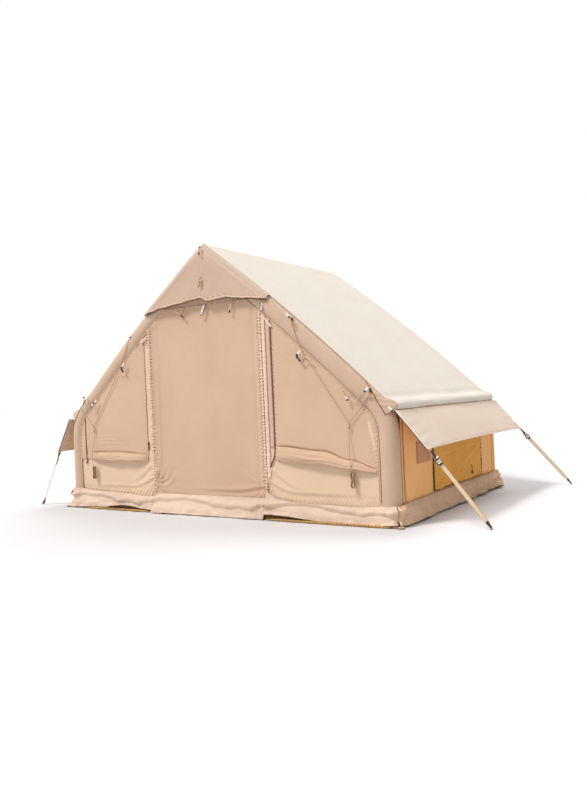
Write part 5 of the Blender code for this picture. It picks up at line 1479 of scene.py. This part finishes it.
def build_roof_end(side, end, angle):
    """The roof's edge over an arch, and the gusset that closes the end of its eave roll."""
    sign, way = SIGN[side], SIGN[end]
    reach = ARCH_INSET
    inset = reach - reach * math.cos(angle)
    y = way * (ARCH_Y + reach * math.sin(angle))
    line = roof_line(inset, 0.0)
    path = [Vector((sign * p.x, y, p.y)) for p in spread(line[:-4], 420)]
    sweep(f"roof_edge_{side}_{end}", path, (0, way, 0), 0.0036, 0.0032, "awning", sides=8,
          swell=puckered(0.03, 0.08, sign))
    rows = []
    for point in [point for point in spread(line, 400) if point.y < EAVE_HEIGHT + 0.20]:
        centre = nearest_on_arch(point)
        near = (point - centre).length / math.cos(angle)
        aim = (point - centre).normalized()
        open_share = min(max((EAVE_HEIGHT + 0.20 - point.y) / 0.12, 0.0), 1.0)
        last = angle + math.radians(6 + 40 * open_share)
        row = []
        for step in range(13):
            share = step / 12
            turn = angle + (last - angle) * share
            radius = near + (BEAM_RADIUS + 0.0022 - near) * share ** 0.8
            depth = reach + (BEAM_RADIUS + 0.0022 - reach) * share
            flat = centre + aim * radius * math.cos(turn)
            row.append(Vector((sign * flat.x, way * (ARCH_Y + depth * math.sin(turn)), flat.y)))
        rows.append(row)

    def tucks(place):
        return 0.0030 * math.sin(place.z * 150 + place.y * 60) * falloff(place.z - 0.82, 0.06)

    cloth(f"roof_gusset_{side}_{end}", rows, "sleeve", (sign, way, 0), tucks)
    seam = [row[-1] for row in rows]
    sweep(f"roof_gusset_seam_{side}_{end}", seam, (0, way, 0), 0.0030, 0.0026, "coil", sides=8,
          swell=puckered(0.022, 0.12, sign))


CAP_HALF = 0.20
CAP_DROP = 0.078


def build_ridge_caps():
    """Small cloth corners that close the gap between the arches' rounded tops and the roof's ridge."""
    for end in ENDS:
        y = SIGN[end] * (ARCH_Y + 0.4 * BEAM_RADIUS)
        rows = []
        for x in between(-CAP_HALF, CAP_HALF, 0.01):
            top = slope(share_at(abs(x), 0.0)).y - 0.003
            rows.append([Vector((x, y, top - CAP_DROP * step / 6)) for step in range(7)])
        cloth(f"ridge_cap_{end}", rows, "sleeve", (0, SIGN[end], 0))


def awning_frame(side):
    slope_angle = AWNING_SLOPE[side]
    down = Vector((SIGN[side] * math.cos(slope_angle), 0, -math.sin(slope_angle)))
    out = Vector((SIGN[side] * math.sin(slope_angle), 0, math.cos(slope_angle)))
    return Vector((SIGN[side] * HINGE_X, 0, EAVE_HEIGHT)), down, out


def build_awning(side):
    start, down, out = awning_frame(side)
    rows = []
    for y in between(-AWNING_HALF, AWNING_HALF, 0.011):
        share = y / AWNING_HALF
        length = AWNING_LENGTH - 0.010 * (1 - share**2)
        row = []
        for step in range(41):
            drop = step / 40
            lift = 0.005 * math.sin(math.pi * drop) * (1 - share**2) + 0.001
            row.append(start + Vector((0, y, 0)) + down * length * drop + out * lift)
        rows.append(row)
    soft = ripple_of(91 + SIGN[side], (0.20, 0.34, 0.20, 0.0036), (0.06, 0.05, 0.06, 0.0006))

    def ripple(place):
        drop = (place - start).dot(down) / AWNING_LENGTH
        share = abs(place.y) / AWNING_HALF
        hem = (1 - drop) * AWNING_LENGTH
        pull = 0.0032 * math.sin(26 * drop - 14 * share) * share**6 * drop
        rear = 0.3 + 1.6 * max(place.y / AWNING_HALF, 0.0) ** 3
        corner = rays(drop * AWNING_LENGTH, abs(place.y), (AWNING_LENGTH, AWNING_HALF), 15, 0.12, 0.0030)
        wave = soft(place) * min(drop * 5, 1.0) + pull + corner
        wave += puckers(hem, place.y, 0.012, 0.036, 0.0014 * rear)
        return wave + puckers(drop * 0.3, place.y, 0.010, 0.045, 0.0010)

    body = f"awning_{side}"
    cloth(f"awning_{side}_cloth", rows, "awning", out, ripple, body=body,
          stands_for=(f"awning_{side}",))
    for end in ENDS:
        y = SIGN[end] * AWNING_HALF
        path = [start + Vector((0, y, 0)) + down * AWNING_LENGTH * step / 90 for step in range(91)]
        # Painted highlight: a white strip along each side edge of the awning.
        edge = [place + out * 0.0015 for place in path]
        sweep(f"awning_{side}_{end}_edge", edge, out, 0.0052, 0.0026, "white", body, sides=10,
              swell=puckered(0.05, 0.06))
        # Painted shadow: a dark strip under each side edge of the awning.
        shade = [place + Vector((0, SIGN[end] * 0.0035, 0)) - out * 0.0045 for place in path]
        sweep(f"awning_{side}_{end}_binding", shade, out, 0.0024, 0.0034, "coil", body, sides=8)
    hem = [start + Vector((0, y, 0)) + down * (AWNING_LENGTH - 0.010 * (1 - (y / AWNING_HALF) ** 2) - 0.004)
           for y in between(-AWNING_HALF, AWNING_HALF, 0.005)]
    sweep(f"awning_{side}_hem", hem, out, 0.0052, 0.0028, "awning", body, sides=8,
          swell=puckered(0.026, 0.16))
    row = [place - down * 0.012 + out * 0.0035 for place in hem[::4]]
    beads(f"awning_{side}_stitches", row, out, (0.0022, 0.0018, 0.0090), 0.020, "thread", body)


GUY_TWIST = {"right": math.radians(50), "left": math.radians(-50)}


def build_guys(side):
    """Webbing guys from the awning's hem to the pegs, each turned a little, through its slider."""
    start, down, out = awning_frame(side)
    knuckle = start + down * (AWNING_LENGTH + CLEAR + 0.004)
    body = f"guys_{side}"
    for end in ENDS:
        name = f"{side}_{end}"
        top = knuckle + Vector((0, SIGN[end] * (AWNING_HALF - 0.016), 0))
        peg = Vector((SIGN[side] * PEG_X[side], PEG_Y[side][end], PEG_Z))
        way = (peg - top).normalized()
        normal = way.cross(Vector((0, 1, 0))).normalized()
        across = way.cross(normal)
        length = (peg - top).length

        def turned_by(share, normal=normal, across=across):
            into = min(max(share - 0.02, 0.0) / 0.10, 1.0)
            turn = GUY_TWIST[side] * into * min(max(0.985 - share, 0.0) / 0.12, 1.0)
            return normal * math.cos(turn) + across * math.sin(turn)

        path = [top + way * (0.004 + (length - 0.008) * step / 90) for step in range(91)]
        ways = [turned_by(step / 90) for step in range(91)]
        sweep(f"guy_strap_{name}_web", path, ways, 0.0135, 0.0011, "webbing", body, sides=12,
              stands_for=(f"guy_strap_{name}",))
        for sign in (1, -1):
            edge = [place + way.cross(up) * 0.0128 * sign for place, up in zip(path, ways)]
            sweep(f"guy_strap_edge_{name}_{'ab'[sign > 0]}", edge, ways, 0.0017, 0.0016, "selvedge", body,
                  sides=6)
        for place_name, place, radius in (("top", top, 0.0042), ("foot", peg, 0.0052)):
            loop = [place + way * math.cos(math.tau * step / 20) * radius
                    + normal * math.sin(math.tau * step / 20) * radius for step in range(20)]
            sweep(f"guy_loop_{place_name}_{name}", loop, (0, 1, 0), 0.0008, 0.0136, "webbing", body, sides=8,
                  closed=True)
        hook = [top + way * (0.008 + 0.058 * step / 16) for step in range(17)]
        hook_ways = [turned_by((0.008 + 0.058 * step / 16) / length) for step in range(17)]
        lifted = [place + up * 0.0030 for place, up in zip(hook, hook_ways)]
        sweep(f"guy_hook_{name}", lifted, hook_ways, 0.0115, 0.0030, "dark", body, sides=12,
              swell=lambda share, place: 0.70 + 0.40 * math.sin(9 * share) ** 2)
        up = hook_ways[-1]
        toggle(f"guy_buckle_{name}", top + way * 0.062 + up * 0.006 - way.cross(up) * 0.015,
               top + way * 0.076 + up * 0.006 + way.cross(up) * 0.013, 0.0058, body=body)
        foot = [peg - way * 0.052 * step / 16 for step in range(17)]
        foot_ways = [turned_by(1 - 0.052 * step / 16 / length) for step in range(17)]
        lifted = [place + up * 0.0022 for place, up in zip(foot, foot_ways)]
        sweep(f"guy_foot_{name}", lifted, foot_ways, 0.0150, 0.0026, "dark", body, sides=12)
        build_slider(side, end, top + way * 0.095, way, turned_by(0.5))


def build_slider(side, end, centre, way, up):
    """A slider's frame and its three bars, round the webbing."""
    across = way.cross(up)
    body = f"guy_slider_{side}_{end}"
    ring = []
    for step in range(40):
        angle = math.tau * step / 40
        wide, long = math.cos(angle), math.sin(angle)
        ring.append(centre + across * 0.0185 * math.copysign(abs(wide) ** 0.55, wide)
                    + way * 0.0165 * math.copysign(abs(long) ** 0.55, long) + up * 0.0018)
    sweep(f"slider_frame_{side}_{end}", ring, up, 0.0034, 0.0030, "dark", body, sides=10, closed=True,
          stands_for=(f"guy_slider_{side}_{end}",))
    for name, shift, key in (("upper", -0.008, "white"), ("lower", 0.008, "white"), ("tail", 0.022, "dark")):
        half = 0.0165 if key == "white" else 0.0120
        bar = [centre + way * shift + up * 0.0058 + across * (half * (step / 6 - 1)) for step in range(13)]
        sweep(f"slider_bar_{name}_{side}_{end}", bar, up, 0.0034, 0.0024, key, body, sides=8)


# Side walls, flaps and screens

def side_rect(low_y, high_y, low_z, high_z, counts):
    places = ((low_y, low_z), (high_y, low_z), (high_y, high_z), (low_y, high_z))
    corners = [Vector(place) for place in places]
    ring = []
    for index, count in enumerate((counts[0], counts[1], counts[0], counts[1])):
        ring += spread([corners[index], corners[(index + 1) % 4]], count)[:-1]
    return ring


def build_side_wall(side):
    sign = SIGN[side]
    counts = (200, 90)
    outer = side_rect(-ARCH_Y, ARCH_Y, FLOOR + CLEAR, EAVE_HEIGHT + 0.003, counts)
    inner = side_rect(FLAP_FRONT + 0.035, FLAP_REAR - 0.035, FLAP_FOOT + 0.035, FLAP_TOP - 0.035, counts)
    rows = []
    for step in range(45):
        share = step / 44
        rows.append([Vector((sign * HALF_WIDTH, p.lerp(q, share).x, p.lerp(q, share).y))
                     for p, q in zip(outer, inner)])
    soft = ripple_of(101 + sign, (1, 0.13, 0.60, 0.0060), (1, 0.05, 0.12, 0.0010))

    def ripple(place):
        y, z = place.y, place.z
        groove = -0.0120 * falloff(abs(y) - 0.900, 0.016) - 0.0040 * falloff(abs(y) - 0.770, 0.014)
        fan = rays(y, z, (FLAP_FRONT, 0.150), 24, 0.26, 0.0050)
        fan += rays(y, z, (FLAP_REAR, 0.150), 20, 0.14, 0.0035)
        fan += rays(y, z, (FLAP_FRONT, FLAP_TOP), 18, 0.12, 0.0030)
        gather = puckers(z - 0.150, y, 0.022, 0.034, 0.0024)
        edge = min(1.0, (z - 0.006) / 0.06, (0.758 - z) / 0.06, (ARCH_Y - abs(y)) / 0.04)
        return (soft(place) - 0.003 + fan + gather) * max(edge, 0.0) + groove

    cloth(f"side_wall_{side}_cloth", rows, "side", (sign, 0, 0), ripple, stands_for=(f"side_wall_{side}",),
          around=True)
    for end in ENDS:
        # Painted shade: dark strips in the grooves near the wall's ends stand in for the fold's shadow.
        welt = upright(sign * (HALF_WIDTH - 0.0105), SIGN[end] * 0.900, 0.155, 0.735, 0.006)
        sweep(f"side_groove_shade_{side}_{end}", welt, (sign, 0, 0), 0.0100, 0.0030, "shade", sides=10,
              swell=puckered(0.05, 0.10))
    inset_x = sign * (HALF_WIDTH - CLOTH - CLEAR)
    rows = [[Vector((inset_x, y, z)) for y in between(FLAP_FRONT + 0.02, FLAP_REAR - 0.02, 0.03)]
            for z in between(FLAP_FOOT + 0.02, FLAP_TOP - 0.02, 0.03)]
    cloth(f"side_window_screen_{side}_mesh", rows, "screen", (sign, 0, 0), ripple_of(5, (1, 0.2, 0.2, 0.002)),
          thick=SCREEN, stands_for=(f"side_window_screen_{side}",))
    # A darker square of cloth on each side wall, in front of the flap.
    square_x = sign * (HALF_WIDTH + 0.0040)
    rows = [[Vector((square_x, y, z)) for y in between(-0.710, -0.475, 0.008)]
            for z in between(0.380, 0.525, 0.008)]
    cloth(f"side_dark_square_{side}", rows, "dark_square", (sign, 0, 0), ripple_of(9, (1, 0.1, 0.1, 0.0020)), held="laid")
    build_flap(side)


def build_flap(side):
    sign = SIGN[side]
    body = f"side_flap_{side}"
    x = sign * (HINGE_X + 0.001)
    rows = [[Vector((x, y, z)) for y in between(FLAP_FRONT, FLAP_REAR, 0.008)]
            for z in between(FLAP_FOOT, FLAP_TOP, 0.008)]
    soft = ripple_of(111 + sign, (1, 0.20, 0.15, 0.0070), (1, 0.06, 0.06, 0.0014))

    def ripple(place):
        y, z = place.y, place.z
        crease = -0.0045 * falloff(z - 0.405 - 0.010 * math.sin(y * 6), 0.008) * falloff(y - 0.10, 0.55)
        pulls = rays(y, z, (-0.05, 0.150), 20, 0.22, 0.0045) + rays(y, z, (0.36, 0.170), 18, 0.20, 0.0045)
        pulls += (rays(y, z, (FLAP_FRONT, FLAP_FOOT), 16, 0.12, 0.0035)
                  + fold(z - y * 0.30 - 0.24, 0.026, 0.0030))
        edges = puckers(y - FLAP_FRONT, z, 0.014, 0.030, 0.0020)
        edges += puckers(FLAP_REAR - y, z, 0.014, 0.032, 0.0020)
        return max(soft(place) + crease + pulls + edges + 0.004, 0.0)

    cloth(f"side_window_flap_{side}_cloth", rows, "flap", (sign, 0, 0), ripple, body=body, held="hung",
          stands_for=(f"side_window_flap_{side}",))
    corners = [Vector((x, y, z)) for y, z in ((FLAP_FRONT, FLAP_TOP), (FLAP_FRONT, FLAP_FOOT),
                                              (FLAP_REAR, FLAP_FOOT), (FLAP_REAR, FLAP_TOP))]
    path = [corners[0]]
    for a, b in zip(corners, corners[1:]):
        path += spread([a, b], 100)[1:]
    sweep(f"side_flap_piping_{side}", path, (sign, 0, 0), 0.0046, 0.0050, "piping", body, sides=8,
          swell=puckered(0.03, 0.12))
    for name, y, z in (("front", -0.088, 0.165), ("rear", 0.335, 0.205)):
        tie = [Vector((x + sign * (0.006 + 0.004 * math.sin(step / 4)), y + 0.004 * math.sin(step / 3),
                       z + 0.060 - 0.060 * step / 12)) for step in range(13)]
        sweep(f"side_flap_tie_{name}_{side}", tie, (sign, 0, 0), 0.0040, 0.0016, "piping", body, sides=6)
        toggle(f"side_flap_toggle_{name}_{side}", (x + sign * 0.011, y, z + 0.010),
               (x + sign * 0.011, y + 0.003, z - 0.010), 0.0062, "dark", body=body)


# Groundsheet

def foot_ring(half_x, half_y, z, count=16):
    ring = []
    for signs in ((1, -1), (1, 1), (-1, 1), (-1, -1)):
        turn = [math.pi / 2 * step / count for step in range(count + 1)]
        corner = [foot_place("corner", angle, half_x, half_y, False, signs) for angle in turn]
        ring += corner if signs[0] != signs[1] else corner[::-1]
    ring.append(ring[0])
    path = spread(ring, 700)[:-1]
    return [Vector((point.x, point.y, z)) for point in path]


def build_groundsheet():
    """A thin floor with a low crumpled wall that stands up all round."""
    levels = ((0.02, 0.0), (0.6, 0.0), (0.94, 0.0), (0.995, 0.0), (1.0, 0.002))
    levels += tuple((1.0, 0.004 + 0.056 * step / 12) for step in range(13))
    ring = foot_ring(TUB_X, TUB_Y, 0.0)
    rows = []
    for share, z in levels:
        rows.append([Vector((p.x * share, p.y * share, FLOOR - 0.003 + z)) for p in ring])

    def ripple(place):
        along = place.x + place.y
        rough = crumple(along, place.z * 1.3, 0.030, 0.0050, 121) + crumple(along, place.z, 0.012, 0.0016, 7)
        return -max(0.0045 - rough, 0.0) * min(max(place.z - 0.004, 0.0) / 0.010, 1.0)

    cloth("groundsheet_tarp", rows, "tarp", (0, 0, 1), ripple, stands_for=("groundsheet",), held="laid",
          around=True)
    for sign_x in (1, -1):
        for sign_y in (1, -1):
            build_ground_tab(sign_x, sign_y)


# A tab's flat size is given large enough for its crumples, though nothing uses it: its outline is 0.120 by
# 0.085
TAB_FLAT = (0.145, 0.105)
TAB_THICK = 0.002


def build_ground_tab(sign_x, sign_y):
    """A crumpled eyelet tab at a corner of the groundsheet, with its ring."""
    corner = foot_place("corner", math.pi / 4, TUB_X + 0.004, TUB_Y + 0.004, False, (sign_x, sign_y))
    toward = Vector((sign_x, sign_y, 0)).normalized()
    across = Vector((sign_x, -sign_y, 0)).normalized()
    centre = corner + toward * 0.052
    name = f"{'right' if sign_x > 0 else 'left'}_{'rear' if sign_y > 0 else 'front'}"
    outline = [centre + across * 0.060 - toward * 0.062, *[
        centre + (toward * math.sin(turn) + across * math.cos(turn)) * 0.023
        for turn in [math.pi * step / 14 for step in range(15)]], centre - across * 0.060 - toward * 0.062]
    rows = [[centre + (point - centre) * share + Vector((0, 0, 0.005)) for point in
             spread([*outline, outline[0]], 140)] for share in (0.42, 0.52, 0.64, 0.76, 0.88, 1.0)]

    def ripple(place):
        away = (place - centre).length
        fade = min(max(away - 0.014, 0.0) / 0.015, 1.0)
        return max(crumple(place.x, place.y, 0.026, 0.0070, 31) * fade, -0.003)

    cloth(f"ground_tab_{name}", rows, "gold", (0, 0, 1), ripple, thick=TAB_THICK, held="laid", flat=TAB_FLAT)
    ring = [centre + Vector((math.cos(math.tau * step / 24), math.sin(math.tau * step / 24), 0)) * 0.0105
            + Vector((0, 0, 0.0075)) for step in range(24)]
    sweep(f"ground_eyelet_{name}", ring, (0, 0, 1), 0.0042, 0.0026, "dark", sides=10, closed=True)
    rim = [centre + (place - centre) * 1.42 for place in ring]
    sweep(f"ground_eyelet_rim_{name}", rim, (0, 0, 1), 0.0022, 0.0016, "white", sides=8, closed=True)


# Meshes of their own for the hood and the door's ties

HOOD_PIECES = ("gable_hood_cloth", "gable_hood_hem", "gable_hood_binding")
DOOR_TIES = ("door_tie_loop", "door_tie_cord", "door_tie_toggle", "door_tie_strap", "door_tie_strap_edge",
             "door_tie_strap_end", "door_tie_tab", "door_tie_tab_end")


def make_room_for_door():
    """The hood's pieces and the door's ties each get a mesh of their own."""
    for name in HOOD_PIECES:
        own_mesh(bpy.data.objects[name])
    for name in DOOR_TIES:
        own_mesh(bpy.data.objects[name])


# Finish of the model's own pieces

def finish_nodes():
    """Gives the model's own hard pieces their finer materials."""
    for name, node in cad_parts.items():
        if node.hide_render:
            continue
        key = "zip" if "zip" in name else "dark"
        node.data.materials.clear()
        node.data.materials.append(FINISH[key][0])


build_camera()
build_stage()
for side_name in SIDES:
    build_guy_line(side_name)
build_air_frame()
build_band_ties()
build_sheet_edge("right", DOOR["right"] + 0.020, 1.500)
build_sheet_edge("left", -1.330, DOOR["left"] - 0.040)
for side_name in SIDES:
    build_arch_trim(side_name)
    build_front_wall(side_name)
    build_side_wall(side_name)
    build_awning(side_name)
    build_guys(side_name)
build_gable()
build_hood()
build_ridge_caps()
build_rear_wall()
build_door()
build_skirts()
build_roof()
build_groundsheet()
make_room_for_door()
finish_nodes()
